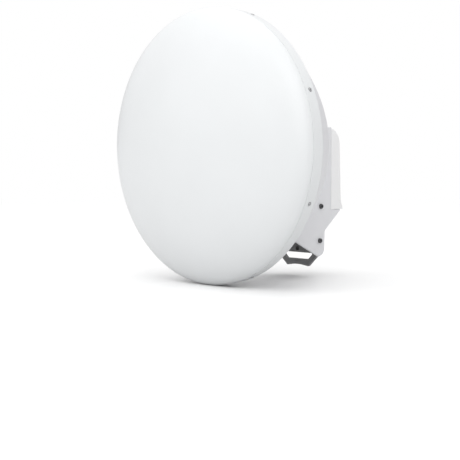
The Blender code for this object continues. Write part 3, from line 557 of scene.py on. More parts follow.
def make_radome():
    inner_r, ledge_r, ledge = SHELL_R + 0.5, SHELL_R - 3.8, SHELL_LOW.y - 2.4
    rear_r, seam_r = RADOME_R - 1.2, RADOME_R - 0.55
    outer = dome_curve(RADOME_R, DOME_HEIGHT, RADOME_R * 0.99999, 44)[:-1]
    outer += [(RADOME_R - 0.02, -0.6), (seam_r, -0.4), (seam_r, 0.35), (RADOME_R, 0.6)]
    outer += [(RADOME_R - 0.1, 2.5), (RADOME_R - 0.25, 4.6), (RADOME_R - 0.6, 10)]
    outer += [(RADOME_R - 0.95, 15.4), (rear_r, SKIRT_DEPTH - 0.9)]
    outer += arc(rear_r - 0.8, SKIRT_DEPTH - 0.8, 0.8, 15, 90, 4)
    rim = arc(inner_r + 0.5, SKIRT_DEPTH - 0.5, 0.5, 90, 180, 3)
    rim += [(inner_r, ledge + 0.6), (inner_r - 0.6, ledge), (ledge_r, ledge)]
    inner = dome_curve(RADOME_R - RADOME_WALL, DOME_HEIGHT - RADOME_WALL, ledge_r, 26)
    radome = piece("radome", lathe(outer + rim + inner[::-1], sides=240), "radome")
    recess = [(0, 180), (1.8, 180), (1.8, 187), (2.7, 187), (2.9, 187.2), (3, 188.2), (3.4, 188.9)]
    recess += [(3.4, 193), (0, 193)]
    cuts = [lathe(recess, (0, spot.y, 0), skirt_axis(spot), 32) for spot in SKIRT_SCREWS]
    carve(radome, *cuts)
    shade(radome, 24, weighted=False)


def make_skirt_screws():
    seat = SHELL_R + 2.5
    profile = shank(1.4, 1.1, SHELL_R - 5.3, seat - 1, 0.5, seat) + head(2.4, seat, 2.0, 1.6)
    for number, spot in enumerate(SKIRT_SCREWS, 1):
        turned(f"radome_screw_{number}", "steel", profile, (0, spot.y, 0), skirt_axis(spot), 36)


def make_rear_shell():
    rim_front = SHELL_LOW.y
    inside = SHELL_R - SHELL_WALL
    front = arc(inside + 0.8, rim_front + 0.8, 0.8, 180, 270, 3)
    front += arc(SHELL_R - 0.8, rim_front + 0.8, 0.8, 270, 360, 3)
    front += [(SHELL_R, 10), (SHELL_R, 15)]
    outer, inner = bowl_curve(), bowl_curve(-SHELL_WALL)
    seat, floor = outer[-1][1], inner[-1][1]
    centre = [(FEED_OPENING_R + 8, seat)] + arc(FEED_OPENING_R + 0.6, seat - 0.6, 0.6, 90, 180, 3)
    centre += [(FEED_OPENING_R, floor), (inner[-1][0] - 3, floor)]
    shell = piece("rear_shell", lathe(front + outer + centre + inner[::-1], sides=240), "shell")
    holes = [rod((0, spot.y, 0), skirt_axis(spot), 1.75, 178, 188, 16) for spot in SKIRT_SCREWS]
    holes += drills(HUB_SCREWS, HUB_HOLE_R, 95, 112)
    holes.append(rod(*vent_seat(), 2.9, -6, 6, 24))
    carve(shell, *holes)
    shade(shell, 24, weighted=False)


def vent_seat():
    """Where the breather vent's axis meets the bowl, and the bowl's outward direction there."""
    spot = middle("breather_vent")
    slope = Vector((2 * spot.x / SHELL_R ** 2, 1 / BOWL_REACH, 2 * spot.z / SHELL_R ** 2))
    level = (spot.x ** 2 + spot.z ** 2) / SHELL_R ** 2 + (spot.y - BOWL_START) / BOWL_REACH - 1
    return spot - slope * level / slope.length_squared, slope.normalized()


def make_breather_vent():
    grip, crown = scallops(6, 12, 0.5), scallops(5, 12, 0.3)
    stem = [(0, -5.4), (2, -5.4), (2.4, -5), (2.4, 0.2)]
    cap = [(5.6, 0.2), (6, 0.5), (6, 1.1), (5.2, 1.3), (5.2, 1.7), (grip, 1.9), (grip, 2.8)]
    cap += [(crown, 3.6), (2.6, 3.75), (2.3, 3.3), (0, 3.3)]
    turned("breather_vent", "black_plastic", stem + cap, *vent_seat(), 96)


def make_reflector():
    high = corners("reflector")[1]
    sheet, focal, flat_r = 1.5, 111.6, 38
    rim = high.x / CAD_FLAT
    dish_r = rim - 3
    vertex = high.y - sheet + flat_r ** 2 / (4 * focal)
    radii = [flat_r + (dish_r - flat_r) * k / 40 for k in range(41)]
    front = [(r, vertex - r ** 2 / (4 * focal)) for r in radii]
    edge = front[-1][1]
    curl = arc(rim - 0.75, edge + 0.75, 0.75, -90, 90, 6)
    back = [(r, d + sheet) for r, d in front]
    seat = [(22.8, back[0][1]), (22.8, front[0][1])]
    shade(piece("reflector", lathe(front + curl + back[::-1] + seat, sides=192), "aluminium"), 28, False)


def make_gasket():
    low, high = corners("rim_gasket")
    front, rear, outer = low.y, high.y, high.x / CAD_FLAT
    inner = outer - 3.7
    lips = []
    for k in range(3):
        lips += arc(inner + 0.65 + 1.2 * k, front + 0.45, 0.45, 180, 360, 6)
    outline = lips + [(outer, front + 0.6), (outer, rear), (inner, rear), (inner, front + 0.6)]
    shade(piece("rim_gasket", lathe(outline, sides=192), "rubber"), 40, False)


# ---------------- feed

TUBE_R, TUBE_BORE = 22, 20


def depths(node):
    """How far back a piece starts and ends."""
    low, high = corners(node)
    return low.y, high.y


def make_feed_tube():
    front, rear = depths("feed_tube")
    tube = [(TUBE_R, front, 0.4), (TUBE_R, rear, 0.4), (TUBE_BORE, rear, 0.3), (TUBE_BORE, front, 0.3)]
    turned("feed_tube", "aluminium", fillet(tube), sides=96)


def make_feed_cone():
    nose, tail = depths("feed_cone")
    plug = TUBE_BORE - 0.4
    cone = [(0, tail), (TUBE_BORE - 6, tail), (TUBE_BORE - 5, tail - 2.5), (plug, tail - 3)]
    cone += [(plug, tail - 10.3), (24, tail - 10.3), (24.6, tail - 11.5), (28, tail - 15)]
    cone += [(28.4, tail - 17), (32, tail - 19), (32.4, tail - 21), (37.4, nose + 1), (37.6, nose)]
    turned("feed_cone", "dielectric", cone + [(0, nose)], sides=96)


def make_splash_plate():
    back, rim = depths("splash_plate")
    face = rim - 1.8
    groove = face - 0.7
    splash = [(0, face), (12, face), (12.6, groove), (15, groove), (15.6, face), (26, face)]
    splash += [(26.6, groove), (29, groove), (29.6, face), (41, face), (42.4, rim)]
    splash += arc(42.9, rim - 0.6, 0.6, 80, -60, 5)
    splash += [(41.5, back + 1.2), (38, back + 0.5), (20, back), (6, back), (5.6, back + 0.5)]
    turned("splash_plate", "aluminium", splash + [(0, back + 0.5)], sides=96)


def make_feed_hub():
    front, rear = depths("feed_hub")
    profile = [(22.5, front), (29, front), (31.5, front + 1.2), (31.5, rear - 5), (33, rear - 4)]
    profile += [(35.4, rear - 4), (36, rear - 3.4), (36, rear - 0.5), (35.5, rear), (23, rear)]
    hub = piece("feed_hub", lathe(profile + [(22.5, rear - 0.5)], sides=96), "aluminium")
    rivets = [Vector((x, 0, 0)) for x in (-29, 29)]
    carve(hub, *drills(HUB_SCREWS, HUB_HOLE_R, 80, 106), *drills(rivets, 1.6, 80, 94))
    shade(hub)


def make_hub_screws():
    for number, spot in enumerate(HUB_SCREWS, 1):
        tip, top = depths(f"hub_screw_{number}")
        seat = top - 2.5
        profile = shank(1.9, 1.5, tip, seat - 2, 0.7, seat) + head(3.4, seat, 2.5, 2.5)
        turned(f"hub_screw_{number}", "steel", profile, (spot.x, 0, spot.z), sides=36)


def make_omt():
    low, high = corners("omt_body")
    half, front, rear = -corners("omt_port_left")[1].z - 0.3, high.y - 41.7, high.y
    outline = fillet([(-half, -half), (half, -half), (half, half), (-half, half)], 2.5)
    bands = [(front + 12, front + 12.8), (rear - 12.8, rear - 12)]
    omt = piece("omt_body", prism(outline, "Y", front, rear, 1.0, 0, bands), "aluminium")
    carve(omt, rod((0, 0, 0), BACK, 26.3, low.y, front + 4, 96), operation="UNION")
    bore = [(0, 95), (22.9, 95), (22.5, low.y + 0.5), (22.5, 118), (20, 118), (20, 146), (0, 146)]
    dimple = [(0, rear - 1.6), (1.4, rear - 1.6), (1.4, rear - 0.4), (2, rear + 0.4), (0, rear + 0.4)]
    dimples = [lathe(dimple, (x, 0, z), BACK, 24) for x in (-18, 18) for z in (-18, 18)]
    carve(omt, lathe(bore, sides=96), *dimples)
    shade(omt)
    for side in SIDES:
        coax_port(f"omt_port_{side}", *hanging(f"omt_port_{side}"), 0)


def coax_port(node, centre, start, end, stem):
    """Threaded coaxial port that points down: a hexagon flange, a centre pin and a stem behind."""
    flats, flange, tail = 8.6, 1.7, start - stem
    base = start + flange
    port = [(0, tail), (1.8, tail), (2, tail + 0.2), (2, start), (hexagon(flats, 4.8), start)]
    port += [(hexagon(flats), start + 0.3), (hexagon(flats), base - 0.3), (hexagon(flats, 4.7), base)]
    port += [(2.8, base + 0.1)] + thread(3.1, base + 0.4, end - 0.5, 0.8) + [(2.8, end), (2.3, end)]
    port += [(2.2, end - 2.6), (0.5, end - 2.6), (0.45, end - 0.8), (0, end - 0.6)]
    turned(node, "brass", port, centre, DOWN)


# ---------------- housing

def on_slope(up, out=0.0):
    """A (y, z) point on the sloping wall, so far up from its foot and out from its surface."""
    place = SLOPE_FOOT + up * SLOPE_UP + out * SLOPE_OUT
    return place.y, place.z


def frame_outline():
    """Side view of the housing's walls: roof, rear edge, sloping wall and floor."""
    front, foot = 80, FRAME_LOW.z
    lip = COVER_FOOT - COVER_GAP
    outline = [(front, ROOF, 0), (SEAM + 8, ROOF, 0), (SEAM + 8, lip, 0), (SLOPE_HEAD.y, lip, 0)]
    outline += [(SLOPE_HEAD.y, SLOPE_HEAD.z, 0), (SLOPE_FOOT.y, SLOPE_FOOT.z, 4)]
    outline += [(SLOPE_FOOT.y - 1, foot + 9.5, 3), (190.8, foot + 5, 3), (187, foot + 2.1, 3)]
    return outline + [(180, foot, 3), (129, foot + 25, 3), (front, foot + 49, 0)]


def frame_cavity():
    """Side view of the housing's hollow, which is open below and, under the cover, behind."""
    bulkhead, behind, under = 108, 220, -170
    rung, rung_front, shelf, slope_top = -89.6, 204.5, COVER_FOOT - 2.8, 218.9
    front, mouth, floor = 78, 133, -122.8
    cavity = [(bulkhead, ROOF - WALL, 3), (behind, ROOF - WALL, 0), (behind, rung, 0)]
    cavity += [(rung_front, rung, 0.6), (rung_front, shelf, 0.6), (slope_top, shelf, 0.6)]
    cavity += [(slope_top, -98, 0.6), (*on_slope(0, -WALL), 3), (192.4, floor, 0), (205, floor, 0)]
    cavity += [(205, under, 0), (mouth, under, 0), (mouth, -133.7, 1), (front, -106.7, 0)]
    return cavity + [(front, -47.5, 0), (bulkhead, -47.5, 1.5)]


def frame_holes():
    """Seats for the side screws, holes for the other screws, and the slots for the cover's rails."""
    seat = [(0, 30), (2.8, 30), (2.8, HALF - 0.2), (3.7, HALF - 0.2), (3.9, HALF - 0.05)]
    seat += [(4, HALF + 0.2), (0, HALF + 0.2)]
    holes = [lathe(seat, place, (side, 0, 0)) for side in (-1, 1) for place in (PIVOT, LOCK)]
    holes += drills(HUB_SCREWS, HUB_HOLE_R, 100, 112) + drills(RADIO_SCREWS, RADIO_HOLE_R, 166, 174)
    holes.append(rod((-HALF, *middle("ground_screw").yz), ACROSS, 2.3, -3, 5, 24))
    for x in (-39.8, 39.8):
        holes.append(block((x - 0.9, RAIL_FRONT - 0.3, -88), (x + 0.9, RAIL_FRONT + 2.3, 22)))
    return holes


def make_frame():
    walls = prism(fillet(frame_outline()), "X", -HALF, HALF, 1.2)
    housing = piece("housing_frame", walls, "shell")
    carve(housing, block((-PAST_X, SEAM - 0.2, COVER_FOOT - COVER_GAP), (PAST_X, PAST_Y, PAST_Z)))
    carve(housing, prism(fillet(frame_cavity()), "X", WALL - HALF, HALF - WALL))
    grown = bowl_curve(0.25)
    bowl = [(0, 20), (grown[0][0], 20)] + grown[1:] + [(FEED_OPENING_R, grown[-1][1])]
    carve(housing, lathe(bowl + [(FEED_OPENING_R, 112), (0, 112)], sides=240))
    rib_rear = corners("radio_heatsink")[1].y - 3.9
    ribs = [block((x - 5, 168.5, -60), (x + 5, rib_rear, 10), 1, 0.6) for x in (-35.5, 35.5)]
    carve(housing, *ribs, operation="UNION")
    carve(housing, *frame_holes())
    door_low, door_high = corners("port_door")
    left, right = door_low.x + 2.5, door_high.x - 2.5
    opening = [(6.7, -3.4), (6.7, 3), (39.3, 3), (39.3, -3.4)]
    carve(housing, prism([on_slope(*place) for place in opening], "X", left, right))
    hinge = Vector((0, *on_slope(HINGE_UP, -DOOR_DEPTH)))
    carve(housing, rod(hinge, ACROSS, 0.9, left - 3, right + 3, 20))
    grommet = (middle("cable_grommet").x, *on_slope(GROMMET_UP))
    carve(housing, rod(grommet, SLOPE_OUT, 5.9, -4, 4, 48))
    shade(housing)


def cover_rails(front):
    """Hooked rails inside the cover's side walls, which run in the frame's slots."""
    rails = []
    for side in (-1, 1):
        hook = [(37, RAIL_FRONT), (40.4, RAIL_FRONT), (40.4, RAIL_FRONT + 2), (39.1, RAIL_FRONT + 2)]
        hook += [(39.1, front + 0.8), (40.8, front + 0.8), (40.8, 212), (37, 212)]
        shape = fillet([(side * x, depth, 0.3) for x, depth in hook], steps=2)
        rails.append(prism(shape, "Z", -86, -40, 0.25))
    return rails


def cover_grips(waist):
    """Finger grooves across the cover's back, above its waist."""
    grips = []
    for row in range(4):
        height = -70 + 4.2 * row
        back = waist - (height - COVER_WAIST) * 3.3 / 81
        grips.append(block((-14, back - 0.5, height), (14, back + 3, height + 1.8), along="X"))
    return grips


def make_cover():
    y, z, radius = ROOF_ARC
    front, rear, wall = SEAM + 0.2, COVER_HIGH.y, 2.3
    skin, bottom, top = radius - wall, COVER_FOOT - 6, (front - 8, ROOF, 0)
    waist, floor = rear - 4.2, COVER_FOOT + wall
    outline = [top] + arc(y, z, radius, 88, 0, 16) + [(waist, COVER_WAIST, 10)]
    outline += [(rear, COVER_FOOT + 1.8, 1.2), (rear, bottom, 0), (front - 8, bottom, 0)]
    cover = piece("rear_cover", prism(fillet(outline, steps=6), "X", -HALF, HALF, 2.6), "cover")
    corner = (-PAST_X, 180, -120)
    carve(cover, block(corner, (PAST_X, front, PAST_Z)))
    carve(cover, block(corner, (PAST_X, PAST_Y, COVER_FOOT)))
    hollow = [(195, z + skin, 0)] + arc(y, z, skin, 88, 0, 12)
    hollow += [(rear - 6.6, COVER_WAIST, 4), (rear - 6.2, floor, 1), (195, floor, 0)]
    carve(cover, prism(fillet(hollow), "X", wall - HALF, HALF - wall))
    carve(cover, *cover_rails(front), operation="UNION")
    carve(cover, *cover_grips(waist))
    shade(cover)


def make_door():
    low, high = corners("port_door")
    thick, top = 1.2, 39
    hinge = Vector((0, *on_slope(HINGE_UP, -DOOR_DEPTH)))
    lean = math.degrees(math.atan2(SLOPE_OUT.z, SLOPE_OUT.y))
    outline = arc(hinge.y, hinge.z, thick, lean, lean - 180, 10)
    outline += [(*on_slope(top, out), 0.4) for out in (-DOOR_DEPTH - thick, thick - DOOR_DEPTH)]
    left, right = low.x + 2.8, high.x - 2.8
    door = piece("port_door", prism(fillet(outline), "X", left, right, 0.35), "cover")
    carve(door, rod(hinge, ACROSS, 0.7, low.x, high.x, 20), operation="UNION")
    centre = (left + right) / 2
    grips = []
    for row in range(3):
        up = 31 + 2.4 * row
        slot = [(up, -0.45), (up + 0.9, -0.45), (up + 1.1, 0.6), (up - 0.2, 0.6)]
        grips.append(prism([on_slope(*place) for place in slot], "X", centre - 8, centre + 8))
    carve(door, *grips)
    shade(door)


def make_grommet():
    spot = middle("cable_grommet")
    profile = [(0, -0.6), (2.4, -0.6), (2.6, -0.2), (3.2, 1.5), (3.6, 1.8), (4.6, 1.9), (5, 1.6)]
    profile += [(5.4, 1.6), (5.8, 1.8)] + arc(6.6, 1, 0.8, 90, 0, 4) + [(7.4, 0.3), (5.6, 0.3)]
    profile += [(5.6, -WALL - 0.3), (7.2, -WALL - 0.3), (7.4, -WALL - 0.5), (7.2, -4.2), (3.4, -4.2)]
    profile += [(2.6, -1.6), (0, -1.6)]
    place = Vector((spot.x, *on_slope(GROMMET_UP)))
    turned("cable_grommet", "rubber", profile, place, SLOPE_OUT, 64)


def make_ground_screw():
    place = Vector((-HALF, *middle("ground_screw").yz))
    whole, crown = hexagon(6.6), hexagon(6.6, 3.5)
    washer = [(3.9, 0.25), (4.2, 0.4), (4.2, 1), (3.9, 1.15)]
    profile = shank(2, 1.6, -8, -3, 0.7, 0.25) + washer
    profile += [(crown, 1.2), (whole, 1.5), (whole, 3), (crown, 3.4), (2, 3.4), (1.8, 3.1), (0, 3.1)]
    turned("ground_screw", "steel", profile, place, (-1, 0, 0))


# ---------------- tilt bracket

def both_sides(inner, outer):
    """A span along X on the left, and its mirror image on the right."""
    return [(-outer, -inner), (inner, outer)]


def plate_outline(foot, half):
    """Front view of the bracket's plate and loop, with an arched lower edge."""
    shoulder = foot + 15.4
    outline = [(20.7, foot, 1.6), (half - 0.8, shoulder, 2), (half, shoulder + 1.9, 1)]
    outline.append((half, -118, 1.5))
    outline += [(-x, z, r) for x, z, r in outline[::-1]]
    arch = [Vector((x, foot + 2 * (1 - (x / 18) ** 2))) for x in range(15, -18, -3)]
    return fillet(outline) + arch[::-1]


def arm_outline(front, plate_rear, rear):
    """Side view of a bracket arm, from round the pivot down to the loop."""
    outline = arc(PIVOT.y, PIVOT.z, 9, 180, 0, 24)
    outline += [(plate_rear, -112, 6), (plate_rear, -124, 5), (rear, -131, 4), (rear, -145, 4)]
    outline += [(185.4, -156.5, 1), (181.1, -156.5, 1), (front, -145, 4), (front, -128, 4)]
    return fillet(outline + [(176, -118, 6)])


def plate_holes(front, rear, arm_inner):
    """The loop's opening, four bolt holes, the blind hole, and a window beside each arm."""
    before, behind = 170, 198
    loop = [(-31.1, -155, 1.5), (-21.1, -164.5, 2), (21.1, -164.5, 2), (31.1, -155, 1.5)]
    holes = [prism(fillet(loop), "Y", before, behind)]
    hole = [(0, before), (3.8, before), (3.8, front), (3.3, front + 0.5), (3.3, rear - 0.5)]
    hole += [(3.8, rear), (3.8, behind), (0, behind)]
    for (left, right), x in zip(both_sides(27, arm_inner), (-18, 18)):
        holes.append(block((left, before, -146.5), (right, behind, -125.5), 1.2, 0, "Y"))
        holes += [lathe(hole, (x, 0, z)) for z in (-125, -147)]
    blind = [(0, before), (4.1, before), (4.1, front), (3.6, front + 0.5), (3.6, rear - 1.7)]
    holes.append(lathe(blind + [(0, rear - 1.5)], (0, 0, -148.8)))
    return holes


def make_bracket():
    low, high = corners("tilt_bracket")
    rear = high.y - 9.5
    front = rear - 5.5
    arm_outer, arm_inner, edge = high.x, high.x - 4.8, 0.9
    plate = prism(plate_outline(low.z, arm_outer - 0.6), "Y", front, rear, edge)
    bracket = piece("tilt_bracket", plate, "casting")
    for span in both_sides(arm_inner, arm_outer):
        carve(bracket, prism(arm_outline(low.y, rear, high.y), "X", *span, edge), operation="UNION")
    cuts = []
    for span in both_sides(arm_inner - 2, arm_outer + 2):
        cuts += [prism(lock_slot(), "X", *span), rod(PIVOT, ACROSS, 4.2, *span, 48)]
    carve(bracket, *cuts)
    carve(bracket, *plate_holes(front, rear, arm_inner))
    shade(bracket)


def lock_slot():
    """Outline of the curved slot that the lock screw runs in, round the pivot."""
    half = 2.9
    offset = LOCK - PIVOT
    reach, aim = offset.length, math.degrees(math.atan2(offset.z, offset.y))
    first, last = aim - LOCK_SWING, aim + LOCK_SWING

    def end_cap(turn, start):
        y, z = arc(PIVOT.y, PIVOT.z, reach, turn, turn, 1)[0]
        return arc(y, z, half, start, start - 180, 12)[1:-1]

    near = arc(PIVOT.y, PIVOT.z, reach - half, first, last, 16)
    far = arc(PIVOT.y, PIVOT.z, reach + half, last, first, 16)
    return near + end_cap(last, last + 180) + far + end_cap(first, first)


def make_side_fasteners():
    for side, sign in (("left", -1), ("right", 1)):
        axis = (sign, 0, 0)
        for name, place in (("pivot", PIVOT), ("lock", LOCK)):
            screw = shank(2.5, 2.1, 27, 33.5, 0.8, HALF) + head(3.5, HALF, 3, 2.6)
            turned(f"{name}_screw_{side}", "black_steel", screw, place, axis)
            nut = [(2.9, 29.1), (hexagon(8, 4.1), 29.1), (hexagon(8), 29.6), (hexagon(8), 32.4)]
            nut += [(4.3, 32.6), (4.6, 32.8), (4.6, 33.4), (2.9, 33.4)]
            turned(f"{name}_nut_{side}", "steel", nut, place, axis)
        bush = [(2.65, 34, 0.2), (4, 34, 0.2), (4, 38.7, 0.1), (6, 38.7, 0.15), (6, 39.3, 0.15)]
        turned(f"pivot_bush_{side}", "nylon", fillet(bush + [(2.65, 39.3, 0.2)]), PIVOT, axis, 64)


# ---------------- radio

def make_heatsink():
    low, high = corners("radio_heatsink")
    base = high.y - 3.6
    root, tip = 1.35, 0.75  # half a fin's thickness at each end
    comb = [(low.x, high.y, 0.4), (high.x, high.y, 0.4), (high.x, base, 0.6)]
    for k in range(6):
        x = 27.5 - 11 * k
        comb += [(x + root, base, 0.8), (x + tip, low.y, 0.6), (x - tip, low.y, 0.6)]
        comb.append((x - root, base, 0.8))
    comb = fillet(comb + [(low.x, base, 0.6)], steps=3)
    heatsink = piece("radio_heatsink", prism(comb, "Z", low.z, high.z, 0.2), "aluminium")
    carve(heatsink, *drills(RADIO_SCREWS, RADIO_HOLE_R, 168, 180, 24))
    shade(heatsink)


def make_radio_screws():
    for number, spot in enumerate(RADIO_SCREWS, 1):
        tip, top = depths(f"radio_screw_{number}")
        seat = top - 2.1
        profile = shank(1.2, 0.9, tip, seat - 0.5, 0.5, seat, 0.4) + head(1.9, seat, 2.1, 1.6)
        turned(f"radio_screw_{number}", "steel", profile, (spot.x, 0, spot.z), sides=36)


def make_radio_case():
    low, high = corners("radio_case")
    wall = 2
    case = piece("radio_case", block(low, high, 3.0, 1.4, "Z"), "radome")
    carve(case, block(low - Vector((-wall, 8, -wall)), high - Vector((wall, wall, wall)), 1.5, 0.5, "Z"))
    foot, outside = -low.z, high.y + 2
    holes = [block((-6.5, 182.3, low.z - 2), (6.5, 194, low.z + 4), 0.6)]
    for node, radius in (("radio_port_left", 3.4), ("radio_port_right", 3.4), ("reset_button", 2.3),
                         ("light_pipe", 2)):
        spot, mouth = middle(node), radius + 0.5
        funnel = [(0, foot - 4), (radius, foot - 4), (radius, foot - 0.5), (mouth, foot + 0.2)]
        funnel += [(mouth, foot + 3), (0, foot + 3)]
        holes.append(lathe(funnel, (spot.x, spot.y, 0), DOWN, 32))
    carve(case, *holes)
    lines = [block((x, high.y - 0.6, -20), (x + 2, outside, 12), 0.9, 0, "Y") for x in range(-24, 30, 6)]
    lines.append(block((-22, high.y - 0.35, low.z + 8), (22, outside, -28), 2.5, 0, "Y"))
    carve(case, *lines)
    shade(case)


def make_board():
    low, high = corners("radio_board")
    top = high.y
    seat = top - 0.02
    black, bare = 1, 2  # places in the list of looks
    parts = [block(low, high, 1.5, 0, "Y")]
    for row in range(5):
        for column in range(4):
            x, z, look = -26 + 2.2 * row, -46 + 5 * column, (black, bare)[(row + column) % 2]
            parts.append(block((x, seat, z), (x + 1.1, top + 0.7, z + 2), 0.2, 0.1, "Y", look))
    chips = [(-14, -20, 14, 2), (-28, -36, -22, 10), (22, -38, 28, -28), (22, -20, 28, 6)]
    for left, bottom, right, upper in chips:
        parts.append(block((left, seat, bottom), (right, top + 1.1, upper), 0.4, 0.2, "Y", black))
    can = [(0, seat), (2.4, seat), (2.4, top + 0.9), (2.2, top + 1.2), (2.4, top + 1.5)]
    can += [(2.4, top + 6.2), (2.1, top + 6.6), (0, top + 6.6)]
    parts += [lathe(can, (x, 0, -56), BACK, 32, bare) for x in (13, 19, 25)]
    shade(piece("radio_board", together(*parts), "board", "black_plastic", "aluminium"))


def make_shield_can():
    low, high = corners("shield_can")
    can = piece("shield_can", block(low, high, 1.2, 0.5, "Y"), "steel")
    carve(can, block(low + Vector((0.6, -2, 0.6)), high - Vector((0.6, 0.6, 0.6)), 0.8, 0, "Y"))
    places = [5 + 4.3 * k for k in range(8)]
    spots = [Vector((low.x + x, 0, low.z + z)) for x in places for z in places]
    carve(can, *drills(spots, 0.8, high.y - 2, high.y + 2, 12))
    shade(can)


def make_jack():
    low, high = corners("ethernet_jack")
    jack = piece("ethernet_jack", block(low, high, 0.8, 0.4, "Z"), "steel")
    carve(jack, block((-6, 183, low.z - 2), (6, 190.5, -58), 0.4))
    carve(jack, block((-3.2, 190.2, low.z - 2), (3.2, 193, -58), 0.3))
    carve(jack, *[block((x - 0.3, 184, -68), (x + 0.3, 189, -60)) for x in (-8, 8)])
    shade(jack)


def make_switch():
    low, high = corners("reset_switch")
    shade(piece("reset_switch", block(low, high, 0.6, 0.3, "Y"), "black_plastic"))


def hanging(node):
    """Where an upright piece's axis is, and how far down it starts and ends."""
    spot, (low, high) = middle(node), corners(node)
    return Vector((spot.x, spot.y, 0)), -high.z, -low.z


def make_radio_ports():
    stem = 8
    for side in SIDES:
        centre, start, end = hanging(f"radio_port_{side}")
        coax_port(f"radio_port_{side}", centre, start + stem, end, stem)


def make_light_pipe():
    centre, start, end = hanging("light_pipe")
    shelf = end - 4.3
    pipe = [(0, start), (1.6, start), (1.6, shelf), (2.6, shelf), (2.6, shelf + 1), (1.6, shelf + 1)]
    pipe += [(1.6, end - 0.8)] + arc(0, end - 1.6, 1.6, 30, 84, 6) + [(0, end)]
    turned("light_pipe", "clear", pipe, centre, DOWN)


def make_reset_button():
    centre, start, end = hanging("reset_button")
    button = [(0, start), (2.8, start), (3, start + 0.2), (3, start + 0.9), (2.8, start + 1.1)]
    button += [(1.9, start + 1.1), (1.9, end - 0.5), (1.6, end - 0.1), (1.3, end), (0.9, end - 0.15)]
    turned("reset_button", "black_plastic", button + [(0, end - 0.3)], centre, DOWN)


def make_jumpers():
    """A coaxial jumper on each side, hanging in a loop under the radio, with a nut at each end."""
    whole, cut = hexagon(7.6), hexagon(7.6, 4)
    brass, rubber = 1, 2  # places in the list of looks
    steps, overlap = 48, Vector((0, 0, 3))
    for side in SIDES:
        ends = [hanging(f"{node}_port_{side}") for node in ("radio", "omt")]
        start, finish = [centre - Vector((0, 0, tip + 13.5)) for centre, _, tip in ends]
        first, second = start - Vector((0, 0, 27)), finish - Vector((0, 0, 80.5))
        path = []
        for k in range(steps + 1):
            t = k / steps
            path.append(start * (1 - t) ** 3 + first * 3 * t * (1 - t) ** 2
                        + second * 3 * t ** 2 * (1 - t) + finish * t ** 3)
        shapes = [sweep([start + overlap] + path + [finish + overlap], 1.8, 24)]
        for centre, _, tip in ends:
            top = tip + 0.3
            nut = [(3.3, top), (cut, top), (whole, top + 0.4), (whole, top + 5.6), (cut, top + 6)]
            nut += [(3.4, top + 6.2), (3.4, top + 7.6), (2, top + 8), (2, top + 1), (3.3, top + 0.8)]
            sleeve = [(1.7, top + 7.2), (2.6, top + 7.2), (2.6, top + 12.6), (2.2, top + 13.4)]
            sleeve.append((1.7, top + 13.6))
            shapes += [lathe(nut, centre, DOWN, 48, brass), lathe(sleeve, centre, DOWN, 48, rubber)]
        shade(piece(f"jumper_{side}", together(*shapes), "cable", "brass", "rubber"))


# ---------------- stage

HORIZON_LIGHT, ZENITH_LIGHT = 0.303, 1.572
FLOOR_BOUNCE = 0.7
FLOOR_FADE = (0.8, 2.5)  # metres from the middle where the floor turns into backdrop
WHITE = (1, 1, 1, 1)


def either(tree, share, first, second):
    """A mix of two shaders, with the second's share."""
    mix = add(tree, "MixShader")
    for source, socket in zip((share, first.outputs[0], second.outputs[0]), mix.inputs):
        tree.links.new(source, socket)
    return mix


def shown(tree, output, lighting, seen):
    """End a tree in what lights the scene, and in what the camera itself sees."""
    camera = add(tree, "LightPath").outputs["Is Camera Ray"]
    mix = either(tree, camera, lighting, seen)
    tree.links.new(mix.outputs[0], tree.nodes[output].inputs["Surface"])


def make_floor():
    """Pale floor that fades into the white backdrop, and reflects less light than it shows."""
    level, reach = CAD_BOX[0].z - 0.0005, 30
    mesh = bpy.data.meshes.new("floor")
    square = [(x * reach, y * reach, level) for x, y in ((-1, -1), (1, -1), (1, 1), (-1, 1))]
    mesh.from_pydata(square, [], [(0, 1, 2, 3)])
    mat = surface("pale_floor", (0.96, 0.96, 0.96), 0.4, shift=0.003, patch=2, grain=300, relief=0,
                  spread=0)
    tree = mat.node_tree
    place = add(tree, "TexCoord").outputs["Object"]
    length = add(tree, "VectorMath")
    length.operation = "LENGTH"
    tree.links.new(place, length.inputs[0])
    fade = remap(tree, length.outputs["Value"], FLOOR_FADE, (0, 1))
    glow = add(tree, "Emission")
    faded = either(tree, fade, tree.nodes["Principled BSDF"], glow)
    bounce = add(tree, "BsdfDiffuse", Color=(*[FLOOR_BOUNCE] * 3, 1))
    shown(tree, "Material Output", bounce, faded)
    mesh.materials.append(mat)
    placed("floor", mesh)


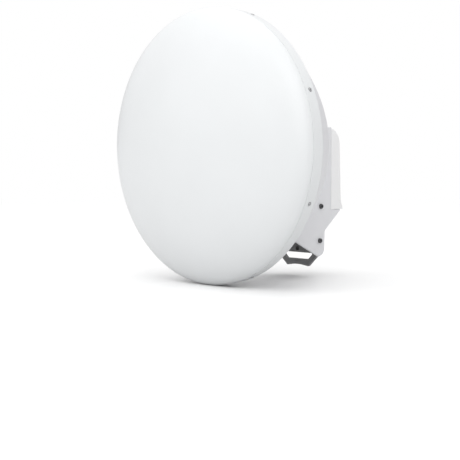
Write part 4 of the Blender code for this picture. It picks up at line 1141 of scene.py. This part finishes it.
def make_world():
    """A studio dome, brighter overhead, that the camera itself sees as plain white."""
    world = bpy.data.worlds.new("studio")
    bpy.context.scene.world = world
    world.use_nodes = True
    tree = world.node_tree
    glow = tree.nodes["Background"]
    place = add(tree, "TexCoord").outputs["Generated"]
    parts = add(tree, "SeparateXYZ")
    tree.links.new(place, parts.inputs[0])
    level = remap(tree, parts.outputs["Z"], (0, 1), (HORIZON_LIGHT, ZENITH_LIGHT))
    tree.links.new(level, glow.inputs["Strength"])
    put(glow, Color=WHITE)
    backdrop = add(tree, "Background", Color=WHITE)
    shown(tree, "World Output", glow, backdrop)


def direction(azimuth, elevation):
    """Unit vector from the dish, with no azimuth straight in front of it."""
    turn, rise = math.radians(azimuth), math.radians(elevation)
    return Vector((math.sin(turn) * math.cos(rise), -math.cos(turn) * math.cos(rise), math.sin(rise)))


def make_softbox(name, azimuth, elevation, distance, size, glow):
    """A square softbox that faces the dish, with its brightness as seen head on."""
    light = bpy.data.lights.new(name, "AREA")
    light.size = size
    light.energy = glow * math.pi * size ** 2
    obj = placed(name, light)
    away = direction(azimuth, elevation)
    obj.location = SEAM_CENTRE * MM + distance * away
    obj.rotation_mode = "QUATERNION"
    obj.rotation_quaternion = (-away).to_track_quat("-Z", "Y")


def make_camera():
    """Camera at the height of the dish's axis, aimed a little below and beside it."""
    azimuth, pitch, yaw, distance, lens = 46.15, 3.96, 0.99, 1.642, 93.9
    camera = placed("camera", bpy.data.cameras.new("camera"))
    camera.location = SEAM_CENTRE * MM + distance * direction(azimuth, 0)
    camera.rotation_euler = [math.radians(a) for a in (90 - pitch, 0, azimuth - yaw)]
    camera.data.sensor_width = 36
    camera.data.lens = lens
    bpy.context.scene.camera = camera


MAKERS = (
    make_radome, make_skirt_screws, make_rear_shell, make_breather_vent, make_reflector,
    make_gasket, make_feed_tube, make_feed_cone, make_splash_plate, make_feed_hub, make_hub_screws,
    make_omt, make_frame, make_cover, make_door, make_grommet, make_ground_screw, make_bracket,
    make_side_fasteners, make_heatsink, make_radio_screws, make_radio_case, make_board,
    make_shield_can, make_jack, make_switch, make_radio_ports, make_light_pipe, make_reset_button,
    make_jumpers, make_floor, make_world,
)


def main():
    for make in MAKERS:
        make()
    make_softbox("key", -30, 28, 2.3, 2.3, 0.75)
    make_softbox("fill", 45, 28, 2.3, 2.0, 1.25)
    make_camera()
    bpy.context.scene.view_settings.view_transform = "Standard"


main()
